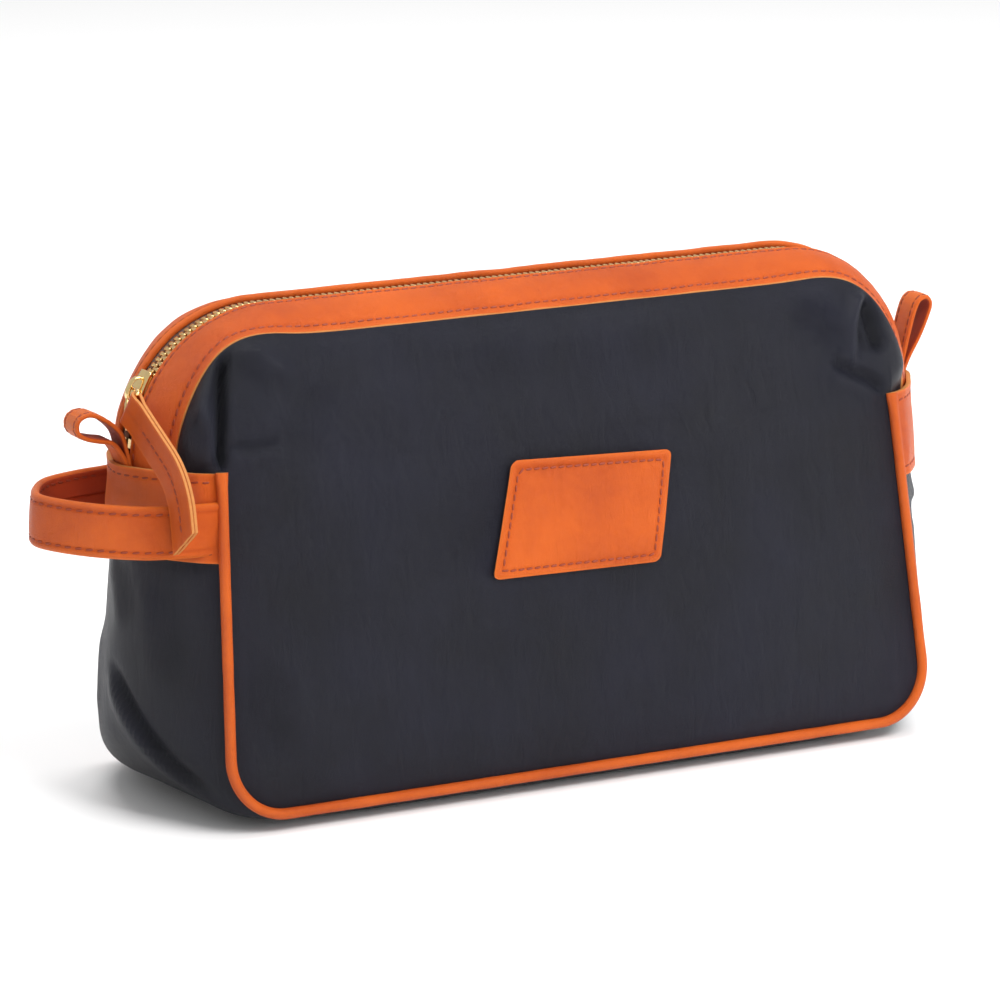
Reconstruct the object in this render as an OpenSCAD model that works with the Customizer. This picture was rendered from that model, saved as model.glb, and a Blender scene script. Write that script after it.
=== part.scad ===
// Leather shaving kit bag: piped front and back panels, a gusset round the sides and base,
// a zip over the top, a strap handle on the left end and a small loop at each end.
// +X is to the right seen from the front, +Y is to the back, +Z is up. Origin: centre of the base.

/* [Bag] */
// Width between the corner seams at the base
base_width = 270; // [220:1:330]
// Width between the corner seams at the top of the side bands
band_width = 258; // [210:1:320]
// Depth between the front and back seams at the base
base_depth = 102; // [86:1:124]
// Depth between the front and back seams at the top of the side bands
band_depth = 66; // [60:1:80]
// Height to the top of the zip band
bag_height = 169; // [140:1:205]
// Height of the piped seam above the floor
seam_height = 6; // [5:0.5:9]
// Radius of the piped lower corners
corner_r = 19; // [14:1:26]
// Radius of the zip's curve over each end
shoulder_r = 50; // [40:1:58]
// How far the sides bulge out past the corner seams at mid depth
side_bulge = 20.5; // [12:0.5:26]
// How far the middle of the front and back panels swells
panel_swell = 3; // [1:0.5:6]

/* [Leather] */
// Thickness of the body leather
leather_t = 1.6; // [1.2:0.1:2]
// Thickness of the cloth lining
lining_t = 0.6; // [0.4:0.1:0.8]
// Thickness of the board in the base
board_t = 2; // [1:0.1:2.4]
// Width of the base board, front to back
board_depth = 64; // [50:1:66]
// Outer diameter of the piping
piping_d = 3.7; // [3:0.1:4.4]
// Diameter of the cord inside the piping
piping_cord_d = 2; // [1.4:0.1:2.4]

/* [Side bands] */
// Height of each side band
band_height = 29; // [20:1:36]
// Thickness of each side band
band_t = 1.8; // [1.4:0.1:2.2]

/* [Zip] */
// How far each zip strip reaches from the middle of the zip
strip_reach = 22; // [18:0.5:26]
// Half of the open gap between the two zip strips
strip_gap = 5.5; // [5:0.1:6]
// Thickness of each folded zip strip
strip_t = 2.2; // [1.8:0.1:2.4]
// How far the outer edge of a zip strip lies below the zip
strip_drop = 9; // [5:0.5:11]
// Thickness of the zip tape
tape_t = 0.6; // [0.4:0.1:0.8]
// Distance between neighbouring teeth on one tape
tooth_pitch = 2.4; // [2.2:0.1:3]
// Width of the slider
slider_w = 9; // [8:0.1:10]
// Length of the slider
slider_l = 14.8; // [12:0.1:17]

/* [Pull] */
// Width of the leather pull tab
tab_w = 13; // [10:0.5:14]
// Thickness of the folded pull tab
tab_t = 2.8; // [2.4:0.1:3.2]
// Diameter of the link's wire
wire_d = 1.4; // [1.2:0.1:1.6]

/* [Handle and loops] */
// Width of the handle strap
strap_w = 18; // [14:0.5:20]
// Thickness of the handle strap
strap_t = 2.8; // [2:0.1:3.2]
// How far the handle stands out from the corner seams
handle_reach = 54; // [46:1:64]
// Width of the strip in each end loop
loop_w = 11; // [8:0.5:12]
// Thickness of the strip in each end loop
loop_t = 1.5; // [1.2:0.1:1.8]
// Length of each end loop
loop_l = 26; // [22:1:30]

/* [Patch] */
// Width of the patch
patch_w = 61; // [50:1:70]
// Height of the patch
patch_h = 40; // [30:1:44]
// Thickness of the patch
patch_t = 1.4; // [1:0.1:1.8]

/* [Hidden] */

navy = [0.13, 0.14, 0.19];
orange = [0.90, 0.40, 0.15];
brass = [0.85, 0.68, 0.35];
tape_colour = [0.48, 0.33, 0.20];
cloth = [0.62, 0.56, 0.46];
board_colour = [0.45, 0.38, 0.30];

$fn = 48;
clear = 0.3;

// Radius of the panels' top edge at the shoulders, just under the zip strips
edge_r = shoulder_r - strip_drop - strip_t - clear;

// Where the end arcs of the zip are centred; the side bands stop level with them
arc_z = bag_height - shoulder_r;
arc_x = band_width / 2 + side_bulge - shoulder_r;
band_top = arc_z;
seam_rise = band_top - seam_height;

// Lean of the front seam, taper of the side seam, and the centre of the lower corner
lean = atan((base_depth - band_depth) / 2 / seam_rise);
taper = atan((base_width - band_width) / 2 / seam_rise);
corner_x = base_width / 2 - corner_r * tan(taper) - corner_r / cos(taper);
corner_z = seam_height + corner_r;

// How far each layer stops short of the corner seam, and how deep it lies
leather_edge = piping_d / 2 + 0.6;
gusset_edge = piping_d / 2 + 0.1;
lining_edge = leather_edge + 1.6;
inner_edge = lining_edge + 1.2;
band_edge = leather_edge + band_t;
hidden_top = 1.5;
lining_depth = leather_t + board_t + 2 * clear;
panel_lining_depth = leather_t + 0.6;

// Zip levels below the top of the zip band
tape_drop = strip_t + 0.1;
tooth_h = 2.6;
tooth_drop = tape_drop + tape_t / 2 - tooth_h / 2;
tooth_head = 0.7;
flat_reach = 6;
slider_angle = 62.4;
plate_t = 1.6;
bridge_lift = 1.5;

function mix(a, b, t) = a + (b - a) * t;
function unit(v) = v / max(norm(v), 0.000001);
function half_depth(z) =
    z <= band_top ? mix(base_depth / 2, band_depth / 2, (z - seam_height) / seam_rise)
    : mix(band_depth / 2, strip_reach + 0.5, pow(min(1, (z - band_top) / edge_r), 1.3));
function seam_x(z) = mix(base_width / 2, band_width / 2, (z - seam_height) / seam_rise);
function drop(w) = w <= flat_reach ? 0 : strip_drop * pow((w - flat_reach) / (strip_reach - flat_reach), 1.4);

// ---- Front panel: rows of constant height, each spread over its own half width ----

function swell(x, z) =
    let (up = min(1, max(0, (z - seam_height) / seam_rise / 1.25)))
    panel_swell * max(0, 1 - pow(x / (band_width / 2), 2)) * sin(180 * up);
function wrap(t) = sqrt(max(0, 1 - t * t));
function shoulder_half(z) = arc_x + sqrt(max(0, edge_r * edge_r - pow(z - arc_z, 2)));
wrap_run = 14;
function front_y(x, z) =
    let (reach = shoulder_half(z), from = reach - wrap_run, t = min(1, max(0, (abs(x) - from) / wrap_run)))
    z <= band_top ? half_depth(z) + swell(x, z)
    : mix(strip_reach + 0.5, half_depth(z), wrap(t)) + swell(x, z);

// Each row is [height, half width]
function panel_rows(edge) = concat(
    [for (a = [0:18:90]) [corner_z - (corner_r - edge) * cos(a), corner_x + (corner_r - edge) * sin(a)]],
    [for (k = [1:5]) let (z = mix(corner_z, band_top - 0.6, k / 5)) [z, seam_x(z) - edge]],
    [for (a = [3.5, 12, 24, 36, 48, 60, 72, 82, 90]) let (r = edge_r + leather_edge - edge)
        [arc_z + r * sin(a), arc_x + r * cos(a)]]
);
panel_cols = 12;
function panel_grid(edge) = [
    for (row = panel_rows(edge)) [
        for (i = [-panel_cols:panel_cols])
            let (x = row[1] * sin(90 * i / panel_cols))
            [x, -front_y(x, row[0]), row[0]]
    ]
];

// ---- Gusset: stations down one side, along the base and up the other ----

// Each station is [seam x, seam z, outward x, outward z, bulge, share of side shape]
function corner_stop(side, a) = [
    side * (corner_x + corner_r * sin(a)), corner_z - corner_r * cos(a), side * sin(a), -cos(a),
    seam_height + (side_bulge - seam_height) * pow(sin(a), 2), pow(sin(a), 2)
];
function side_stop(side, z) = [side * seam_x(z), z, side, 0, side_bulge, 1];
function side_stops(side, top) = [for (k = [0:6]) side_stop(side, mix(top, corner_z + 2, k / 6))];
function base_stop(x) = [x, seam_height, 0, -1, seam_height, 0];
function reversed(v) = [for (i = [len(v) - 1:-1:0]) v[i]];
function gusset_stops(top) = concat(
    side_stops(-1, top), [for (a = [90:-15:0]) corner_stop(-1, a)],
    [for (k = [1:11]) base_stop(mix(-corner_x, corner_x, k / 12))],
    [for (a = [0:15:90]) corner_stop(1, a)], reversed(side_stops(1, top))
);
flat_share = 0.7;
function base_shape(w) = abs(w) <= flat_share ? 1 : wrap((abs(w) - flat_share) / (1 - flat_share));
function across(w, share) = mix(base_shape(w), 1 - w * w, share);
gusset_cols = [-1, -0.97, -0.9, -0.8, -0.7, -0.47, -0.24, 0, 0.24, 0.47, 0.7, 0.8, 0.9, 0.97, 1];
function gusset_point(stop, w, edge) =
    let (deep = half_depth(stop[1]), y = w * (deep - edge), out = stop[4] * across(y / deep, stop[5]))
    [stop[0] + stop[2] * out, y, stop[1] + stop[3] * out];
function gusset_grid(edge, stops) = [for (stop = stops) [for (w = gusset_cols) gusset_point(stop, w, edge)]];

// ---- Sheets: a grid of points and the same grid moved along its normals ----

function before(i) = max(0, i - 1);
function after(i, n) = min(n - 1, i + 1);
function grid_normal(g, r, c) =
    let (down = g[after(r, len(g))][c] - g[before(r)][c])
    let (along = g[r][after(c, len(g[0]))] - g[r][before(c)])
    unit(cross(down, along));
function moved(g, by) = [
    for (r = [0:len(g) - 1]) [for (c = [0:len(g[0]) - 1]) g[r][c] + by * grid_normal(g, r, c)]
];

module sheet(near, far) {
    rows = len(near);
    cols = len(near[0]);
    n = rows * cols;
    points = concat([for (row = near) each row], [for (row = far) each row]);
    function at(r, c) = r * cols + c;
    faces = concat(
        [for (r = [0:rows - 2], c = [0:cols - 2]) each [
            [at(r, c), at(r, c + 1), at(r + 1, c + 1)], [at(r, c), at(r + 1, c + 1), at(r + 1, c)],
            [n + at(r, c), n + at(r + 1, c + 1), n + at(r, c + 1)],
            [n + at(r, c), n + at(r + 1, c), n + at(r + 1, c + 1)]
        ]],
        [for (r = [0:rows - 2]) each [
            [at(r, 0), at(r + 1, 0), n + at(r + 1, 0)], [at(r, 0), n + at(r + 1, 0), n + at(r, 0)],
            [at(r + 1, cols - 1), at(r, cols - 1), n + at(r, cols - 1)],
            [at(r + 1, cols - 1), n + at(r, cols - 1), n + at(r + 1, cols - 1)]
        ]],
        [for (c = [0:cols - 2]) each [
            [at(0, c + 1), at(0, c), n + at(0, c)], [at(0, c + 1), n + at(0, c), n + at(0, c + 1)],
            [at(rows - 1, c), at(rows - 1, c + 1), n + at(rows - 1, c + 1)],
            [at(rows - 1, c), n + at(rows - 1, c + 1), n + at(rows - 1, c)]
        ]]
    );
    polyhedron(points = points, faces = faces, convexity = 6);
}

// A layer of the front panel between two depths below its outer face
module panel_layer(edge, from, to) {
    g = panel_grid(edge);
    sheet(moved(g, from), moved(g, to));
}

// A layer of the gusset between two depths below its outer face
module gusset_layer(edge, from, to, stops) {
    g = gusset_grid(edge, stops);
    sheet(moved(g, from), moved(g, to));
}

module front_panel() {
    color(navy) panel_layer(leather_edge, 0, leather_t);
}

module back_panel() {
    color(navy) mirror([0, 1, 0]) panel_layer(leather_edge, 0, leather_t);
}

module lining_front() {
    color(cloth) panel_layer(lining_edge, panel_lining_depth, panel_lining_depth + lining_t);
}

module lining_back() {
    color(cloth) mirror([0, 1, 0]) panel_layer(lining_edge, panel_lining_depth, panel_lining_depth + lining_t);
}

module gusset() {
    color(navy) gusset_layer(gusset_edge, 0, leather_t, gusset_stops(band_top - hidden_top));
}

module lining_gusset() {
    stops = gusset_stops(band_top - 2 * hidden_top);
    color(cloth) gusset_layer(inner_edge, lining_depth, lining_depth + lining_t, stops);
}

module base_board() {
    long = 2 * corner_x - 4;
    r = 8;
    color(board_colour)
    translate([0, 0, leather_t + clear])
    linear_extrude(board_t) {
        square([long, board_depth - 2 * r], center = true);
        square([long - 2 * r, board_depth], center = true);
        for (x = [-1, 1], y = [-1, 1]) translate([x * (long / 2 - r), y * (board_depth / 2 - r)]) circle(r);
    }
}

// ---- Piping: a round section run along the seam, in the plane of the leaning seam ----

module seam_run() {
    rise = (corner_z - seam_height) / cos(lean);
    side_l = (seam_rise - (corner_z - seam_height)) / cos(lean) / cos(taper) + corner_r * sin(taper);
    translate([0, -base_depth / 2, seam_height]) rotate([-lean, 0, 0]) rotate([90, 0, 0]) {
        translate([-corner_x, 0, 0]) rotate([0, 90, 0]) linear_extrude(2 * corner_x) children();
        for (side = [0, 1]) mirror([side, 0, 0]) {
            translate([corner_x, rise, 0]) rotate([0, 0, -90])
            rotate_extrude(angle = 90 + taper) translate([rise, 0]) children();
            translate([corner_x + rise * cos(taper), rise + rise * sin(taper), 0])
            rotate([-90, 0, taper]) linear_extrude(side_l - rise * sin(taper) * 2) children();
        }
    }
}

module piping() {
    seam_run() difference() {
        circle(d = piping_d);
        circle(d = piping_cord_d + 0.1);
    }
}

module front_piping() {
    color(orange) piping();
}

module back_piping() {
    color(orange) mirror([0, 1, 0]) piping();
}

module front_piping_cord() {
    color(cloth) seam_run() circle(d = piping_cord_d);
}

module back_piping_cord() {
    color(cloth) mirror([0, 1, 0]) seam_run() circle(d = piping_cord_d);
}

// ---- Side bands over the top of each side of the gusset ----

band_lift = 0.2;
module side_band() {
    stops = [for (k = [0:4]) side_stop(-1, band_top - clear - band_height * k / 4)];
    gusset_layer(band_edge, -band_lift - band_t, -band_lift, stops);
}

module left_side_band() {
    color(orange) side_band();
}

module right_side_band() {
    color(orange) mirror([1, 0, 0]) side_band();
}

// ---- Zip: everything on it follows two end arcs and the straight run between them ----

// Turns a section, with x out from the arc's centre and y towards the front, between two angles
module turned(from, to) {
    rotate([90, 0, 0]) rotate([0, 0, from]) rotate_extrude(angle = to - from) children();
}

module zip_run() {
    translate([arc_x, 0, arc_z]) turned(0, 90) children();
    translate([-arc_x, 0, arc_z]) rotate([180, -90, 0]) linear_extrude(2 * arc_x) children();
    translate([-arc_x, 0, arc_z]) turned(90, 180) children();
}

strip_steps = 12;
function strip_line(below, from, to) = [
    for (k = [0:strip_steps]) let (w = mix(from, to, k / strip_steps)) [shoulder_r - drop(w) - below, w]
];
module strip_section(from, to, below, thick) {
    polygon(concat(strip_line(below, from, to), reversed(strip_line(below + thick, from, to))));
}

module zip_strip() {
    zip_run() strip_section(strip_gap, strip_reach, 0, strip_t);
}

tape_from = 1.4;
tape_to = 17;
module zip_tape() {
    zip_run() strip_section(tape_from, tape_to, tape_drop, tape_t);
}

module zip_band_front() {
    color(orange) zip_strip();
}

module zip_band_back() {
    color(orange) mirror([0, 1, 0]) zip_strip();
}

module zip_tape_front() {
    color(tape_colour) zip_tape();
}

module zip_tape_back() {
    color(tape_colour) mirror([0, 1, 0]) zip_tape();
}

// Puts children on the zip at a distance along it from its left end; +Z out, +X along to the right
teeth_angle = 78;
end_run = shoulder_r * teeth_angle * PI / 180;
zip_length = 2 * end_run + 2 * arc_x;
module on_zip(s) {
    if (s < end_run) {
        translate([-arc_x, 0, arc_z]) rotate([0, (s - end_run) / end_run * teeth_angle, 0])
        translate([0, 0, shoulder_r]) children();
    } else if (s > end_run + 2 * arc_x) {
        translate([arc_x, 0, arc_z]) rotate([0, (s - end_run - 2 * arc_x) / end_run * teeth_angle, 0])
        translate([0, 0, shoulder_r]) children();
    } else {
        translate([s - end_run - arc_x, 0, bag_height]) children();
    }
}

tooth_count = floor(zip_length / tooth_pitch);
tooth_half = tooth_pitch * 0.21;
module tooth() {
    neck = 1.7;
    back = 3.3;
    wide = tooth_pitch * 0.33;
    translate([0, 0, -tooth_drop - tooth_h])
    linear_extrude(tooth_h)
    polygon([
        [-tooth_half, -tooth_head], [tooth_half, -tooth_head], [tooth_half, -neck], [wide, -neck - 0.3],
        [wide, -back], [-wide, -back], [-wide, -neck - 0.3], [-tooth_half, -neck]
    ]);
}

module zip_teeth_front() {
    color(brass) for (i = [0:tooth_count - 1]) on_zip(i * tooth_pitch) tooth();
}

module zip_teeth_back() {
    color(brass) for (i = [0:tooth_count - 1]) on_zip((i + 0.5) * tooth_pitch) mirror([0, 1, 0]) tooth();
}

// Metal stops crimped on the tape just past the last teeth
stop_angle = 83;
module zip_stop_at(side, from, to) {
    translate([side * arc_x, 0, arc_z]) rotate([0, side * stop_angle, 0])
    translate([-1.5, from, shoulder_r - tooth_drop - tooth_h]) cube([3, to - from, tooth_h]);
}

module zip_top_stops() {
    color(brass) {
        zip_stop_at(-1, -3.2, -0.9);
        zip_stop_at(-1, 0.9, 3.2);
    }
}

module zip_bottom_stop() {
    color(brass) zip_stop_at(1, -3.2, 3.2);
}

// ---- Slider: two curved plates round the teeth, joined by a web that runs between the tooth heads ----

slider_span = slider_l / shoulder_r * 180 / PI;
slider_mid = 90 + slider_angle;
plate_under = tooth_drop - clear;
lower_plate = tooth_drop + tooth_h + clear;
flange_w = 0.8;
module slider_body() {
    inner = slider_w / 2 - flange_w;
    color(brass) translate([-arc_x, 0, arc_z]) {
        turned(slider_mid - slider_span / 2, slider_mid + slider_span / 2) {
            translate([shoulder_r - plate_under, -slider_w / 2]) square([plate_t, slider_w]);
            translate([shoulder_r - lower_plate - 1.2, -slider_w / 2]) square([1.2, slider_w]);
            for (side = [0, 1]) mirror([0, side]) {
                translate([shoulder_r - tape_drop + clear, inner])
                square([tape_drop - clear - plate_under + 0.2, flange_w]);
                translate([shoulder_r - lower_plate - 0.2, inner])
                square([lower_plate + 0.2 - tape_drop - tape_t - clear, flange_w]);
            }
        }
        turned(slider_mid - 2, slider_mid + 2)
        translate([shoulder_r - lower_plate - 0.5, -0.5]) square([lower_plate + 0.5 - plate_under + 0.5, 1]);
        rotate([0, -slider_angle, 0]) bridge();
    }
}

// Thin arch that holds the link; its eye is centred on the link's pivot
bridge_w = 1.4;
bridge_r = 2.7;
eye_r = 1.75;
pivot_r = shoulder_r - plate_under + plate_t + bridge_lift;
module bridge() {
    translate([0, bridge_w / 2, pivot_r]) rotate([90, 0, 0]) difference() {
        intersection() {
            cylinder(r = bridge_r, h = bridge_w);
            translate([-bridge_r, -bridge_lift - 0.6, -1]) cube([2 * bridge_r, 2 * bridge_r, bridge_w + 2]);
        }
        intersection() {
            translate([0, 0, -1]) cylinder(r = eye_r, h = bridge_w + 2);
            translate([-eye_r, -bridge_lift, -1]) cube([2 * eye_r, 2 * eye_r + 1, bridge_w + 2]);
        }
    }
}

// ---- Link and pull tab: the tab lies over the side, turned a little to the front ----

pivot = [-arc_x - pivot_r * sin(slider_angle), 0, arc_z + pivot_r * cos(slider_angle)];
bar_at = pivot + [-4.9, -10, -4.6];
tab_turn = 8.6;
bar_tilt = 55;
bar_half = 8.5;
pin_half = 3.8;
bar_dir = [cos(bar_tilt) * sin(tab_turn), -cos(bar_tilt) * cos(tab_turn), sin(bar_tilt)];
knuckle = 1.06;
module rod(a, b, d) {
    v = b - a;
    translate(a) rotate([0, acos(v[2] / norm(v)), atan2(v[1], v[0])]) cylinder(d = d, h = norm(v));
    translate(a) sphere(d = knuckle * d);
}

module pull_link() {
    corners = [
        pivot + [0, -pin_half, 0], pivot + [0, pin_half, 0], bar_at - bar_half * bar_dir, bar_at + bar_half * bar_dir
    ];
    color(brass) for (i = [0:3]) rod(corners[i], corners[(i + 1) % 4], wire_d);
}

// Outline of the tab in its own plane: straight, a bend, then straight down to a slanted end
tab_first = 26.5;
tab_bend_r = 24;
tab_last = 4.5;
tab_end_tilt = 8;
function bend_point(a) = [
    -tab_first * sin(bar_tilt) - tab_bend_r * (cos(a) - cos(bar_tilt)),
    -tab_first * cos(bar_tilt) - tab_bend_r * (sin(bar_tilt) - sin(a))
];
function sideways(p, a, w) = p + w * [cos(a), -sin(a)];
function onward(p, a, l) = p - l * [sin(a), cos(a)];
bend_steps = 8;
function tab_side(w, more) = concat(
    [sideways([0, 0], bar_tilt, w)],
    [
        for (k = [0:bend_steps])
            let (a = mix(bar_tilt, tab_end_tilt, k / bend_steps))
            sideways(bend_point(a), a, w)
    ],
    [onward(sideways(bend_point(tab_end_tilt), tab_end_tilt, w), tab_end_tilt, tab_last + more)]
);

module pull_tab() {
    eye = wire_d / 2 + 0.15;
    long = tab_w + 2;
    color(orange) translate(bar_at) rotate([0, 0, tab_turn]) difference() {
        union() {
            rotate([90, 0, 90]) linear_extrude(tab_t, center = true)
            polygon(concat(tab_side(tab_w / 2, 8), reversed(tab_side(-tab_w / 2, 0))));
            rotate([90 - bar_tilt, 0, 0]) cylinder(r = eye + tab_t / 2, h = tab_w - 2, center = true);
        }
        rotate([90 - bar_tilt, 0, 0]) cylinder(r = eye, h = long, center = true);
    }
}

// ---- Handle: a strap bent round in a long curve, its ends meeting the side band at the seams ----
// The ends are cut to a point at mid height, which leaves room to swing the handle down

handle_z = band_top - 18;
handle_swing = 31;
handle_low = handle_z - strap_w / 2 / cos(handle_swing);
handle_half = half_depth(handle_z) - leather_edge - strap_t / 2;
handle_in = (handle_half - strap_t / 2) / half_depth(handle_low);
handle_slope = 2 * side_bulge * handle_in / half_depth(handle_low);
handle_gap = (band_lift + band_t + clear) * norm([1, handle_slope]);
handle_foot = side_bulge * (1 - handle_in * handle_in) + handle_gap;
handle_root = [-(seam_x(handle_low) + handle_foot), 0, handle_z];
handle_out = handle_reach - handle_foot - strap_t / 2;
handle_steps = 28;
function handle_side(off) = [
    for (k = [0:handle_steps])
        let (a = -90 + 180 * k / handle_steps, n = unit([-cos(a) * handle_half, sin(a) * handle_out]))
        [-handle_out * cos(a), handle_half * sin(a)] + off * n
];
module handle_strap() {
    deep = handle_half * 4;
    color(orange) translate(handle_root) difference() {
        translate([0, 0, -strap_w / 2]) linear_extrude(strap_w)
        polygon(concat(handle_side(strap_t / 2), reversed(handle_side(-strap_t / 2))));
        for (side = [0, 1]) mirror([0, 0, side]) rotate([0, handle_swing, 0])
        translate([0, -deep / 2, -strap_w]) cube([strap_w, deep, strap_w]);
    }
}

// ---- End loops: a strip folded into a drop shape, its two ends together at the root ----

loop_tip_r = 4.6;
loop_root_r = 1.6;
loop_run = loop_l - loop_tip_r - loop_root_r;
loop_flare = asin((loop_tip_r - loop_root_r) / loop_run);
arc_steps = 10;
function arc_points(x, r, from, to) = [
    for (k = [0:arc_steps]) let (a = mix(from, to, k / arc_steps)) [x + r * cos(a), r * sin(a)]
];
function drop_outline(thinner) = concat(
    arc_points(loop_run, loop_tip_r - thinner, -90 - loop_flare, 90 + loop_flare),
    arc_points(0, loop_root_r - thinner, 90 + loop_flare, 270 - loop_flare)
);

module end_loop() {
    rotate([90, 0, 0]) linear_extrude(loop_w, center = true) difference() {
        polygon(drop_outline(0));
        intersection() {
            polygon(drop_outline(loop_t));
            translate([loop_root_r + 2, -loop_tip_r]) square([loop_l, 2 * loop_tip_r]);
        }
    }
}

loop_root_z = band_top + clear + loop_root_r;
loop_root_x = arc_x + shoulder_r + clear + loop_root_r;
left_loop_y = -3;
left_loop_tilt = 147;
right_loop_tilt = 72;
module left_end_loop() {
    color(orange)
    translate([-loop_root_x, left_loop_y, loop_root_z]) rotate([0, -left_loop_tilt, 0]) end_loop();
}

module right_end_loop() {
    color(orange)
    translate([loop_root_x, 0, loop_root_z]) rotate([0, -right_loop_tilt, 0]) end_loop();
}

// ---- Patch on the front panel: a leaning four-sided piece that follows the panel ----

patch_z = 92.5;
patch_lean = 11;
patch_shift = 1.5;
patch_lift = 0.2;
patch_slope = 3;
module patch() {
    g = [
        for (r = [0:4]) [
            for (c = [0:6])
                let (v = r / 4 - 0.5, u = c / 6 - 0.5, z = patch_z + v * patch_h - u * patch_slope)
                let (x = u * patch_w + v * patch_h * sin(patch_lean) + patch_shift)
                [x, -front_y(x, z), z]
        ]
    ];
    color(orange) sheet(moved(g, -patch_lift - patch_t), moved(g, -patch_lift));
}

front_panel();
back_panel();
gusset();
lining_front();
lining_back();
lining_gusset();
base_board();
front_piping();
back_piping();
front_piping_cord();
back_piping_cord();
left_side_band();
right_side_band();
zip_band_front();
zip_band_back();
zip_tape_front();
zip_tape_back();
zip_teeth_front();
zip_teeth_back();
zip_top_stops();
zip_bottom_stop();
slider_body();
pull_link();
pull_tab();
handle_strap();
left_end_loop();
right_end_loop();
patch();
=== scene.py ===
"""Leather shaving kit bag: piped panels, gusset, side bands, zip, pull, handle, end loops and patch."""

import math

import bpy
import numpy as np
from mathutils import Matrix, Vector


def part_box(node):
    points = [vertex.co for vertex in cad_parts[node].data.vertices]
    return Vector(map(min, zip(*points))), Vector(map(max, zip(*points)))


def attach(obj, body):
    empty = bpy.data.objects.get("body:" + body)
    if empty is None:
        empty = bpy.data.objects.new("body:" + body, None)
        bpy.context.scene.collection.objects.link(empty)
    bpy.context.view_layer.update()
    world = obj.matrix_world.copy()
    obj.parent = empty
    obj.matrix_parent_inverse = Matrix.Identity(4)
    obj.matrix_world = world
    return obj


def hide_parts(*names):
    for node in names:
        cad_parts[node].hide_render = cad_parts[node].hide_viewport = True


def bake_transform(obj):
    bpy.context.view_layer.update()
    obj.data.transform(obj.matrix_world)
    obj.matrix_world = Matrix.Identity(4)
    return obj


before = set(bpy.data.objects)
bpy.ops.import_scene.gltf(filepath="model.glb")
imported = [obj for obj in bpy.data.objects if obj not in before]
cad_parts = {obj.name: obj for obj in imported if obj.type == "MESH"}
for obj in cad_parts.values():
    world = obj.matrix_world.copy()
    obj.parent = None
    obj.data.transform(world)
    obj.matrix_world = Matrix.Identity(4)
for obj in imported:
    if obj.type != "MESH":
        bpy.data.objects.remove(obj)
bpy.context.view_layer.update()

MM = 0.001


def box_mm(node):
    low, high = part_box(node)
    return np.array(low) / MM, np.array(high) / MM


# ---------------------------------------------------------------- sizes, in millimetres

strip_low, strip_high = box_mm("zip_band_front")
band_low, band_high = box_mm("right_side_band")
piping_low, piping_high = box_mm("front_piping")

TOP = strip_high[2]
ARC_Z = strip_low[2]
END_R = TOP - ARC_Z
ARC_X = strip_high[0] - END_R
BAND_TOP = band_high[2]
BAND_LOW = band_low[2]

SEAM_Z = 6.0
PIPING_R = SEAM_Z - piping_low[2]
BASE_HALF, BAND_HALF = 135.0, 129.0
BASE_DEEP, BAND_DEEP = 51.0, 33.0
CORNER_R = 19.0
CORNER_Z = SEAM_Z + CORNER_R
RISE = ARC_Z - SEAM_Z
TAPER = math.atan((BASE_HALF - BAND_HALF) / RISE)
LEAN = math.atan((BASE_DEEP - BAND_DEEP) / RISE)
CORNER_X = BASE_HALF - CORNER_R * math.tan(TAPER) - CORNER_R / math.cos(TAPER)
BULGE = 20.5
SWELL = 3.0
LEATHER = 1.6
BAND_T = 1.8
STRIP_IN, STRIP_OUT = 5.0, 22.0
STRIP_DROP = 9.0
EDGE_R = END_R - STRIP_DROP
WRAP = 14.0
SLIDER_ANGLE = math.radians(62.4)


def smooth(t):
    t = np.clip(t, 0, 1)
    return t * t * (3 - 2 * t)


def mix(a, b, t):
    return a + (b - a) * t


def bell(distance, width):
    return np.exp(-((distance / width) ** 2))


def seam_x(z):
    return mix(BASE_HALF, BAND_HALF, (z - SEAM_Z) / RISE)


def half_depth(z):
    upper = np.clip((z - ARC_Z) / EDGE_R, 0, 1) ** 1.3
    lower = mix(BASE_DEEP, BAND_DEEP, (z - SEAM_Z) / RISE)
    return np.where(z <= ARC_Z, lower, mix(BAND_DEEP, STRIP_OUT + 0.5, upper))


def reach(z):
    return ARC_X + np.sqrt(np.maximum(0, EDGE_R**2 - np.maximum(0, z - ARC_Z) ** 2))


def drop(w):
    return STRIP_DROP * (np.maximum(0, w - 6.0) / (STRIP_OUT - 6.0)) ** 1.4


# How far the shoulders puff out round the zip strips' edges: left and right end, front (-1) and back (1)
SHOULDER_PUFF = {(-1, -1): 4.2, (1, -1): 2.0, (-1, 1): 3.0, (1, 1): 2.5}


def puffed(p):
    """Lifts the leather round the strips' edges at the shoulders. Strips and panels move as one."""
    p = np.array(p, float)
    x, z = p[..., 0], p[..., 2]
    past = np.maximum(0, np.abs(x) - ARC_X)
    high = z - ARC_Z
    radius = np.where(past > 0, np.hypot(past, np.maximum(high, 0)), np.maximum(high, 0))
    round_end = np.degrees(np.arctan2(past, np.maximum(high, 1e-6)))
    turn = np.where(past > 0, round_end, -(ARC_X - np.abs(x)) / END_R * 57.3)
    away = smooth((np.abs(p[..., 1]) - 5) / 17)
    near = np.exp(-((np.maximum(0, EDGE_R - radius) / 17) ** 2)) * smooth(high / 14)
    amount = np.zeros_like(x)
    for (end, face), puff in SHOULDER_PUFF.items():
        here = (np.sign(x) == end) & (np.sign(p[..., 1]) == face)
        amount = np.where(here, puff, amount)
    amount = amount * away * near * np.exp(-(((turn - 28) / 24) ** 2))
    out = np.stack([np.sign(x) * past, 0 * x, np.maximum(high, 1e-6)], -1)
    return p + unit(out) * amount[..., None]


def lengths(points):
    return np.concatenate([[0], np.cumsum(np.linalg.norm(np.diff(points, axis=0), axis=1))])


def unit(v):
    return v / np.maximum(np.linalg.norm(v, axis=-1, keepdims=True), 1e-9)


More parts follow.
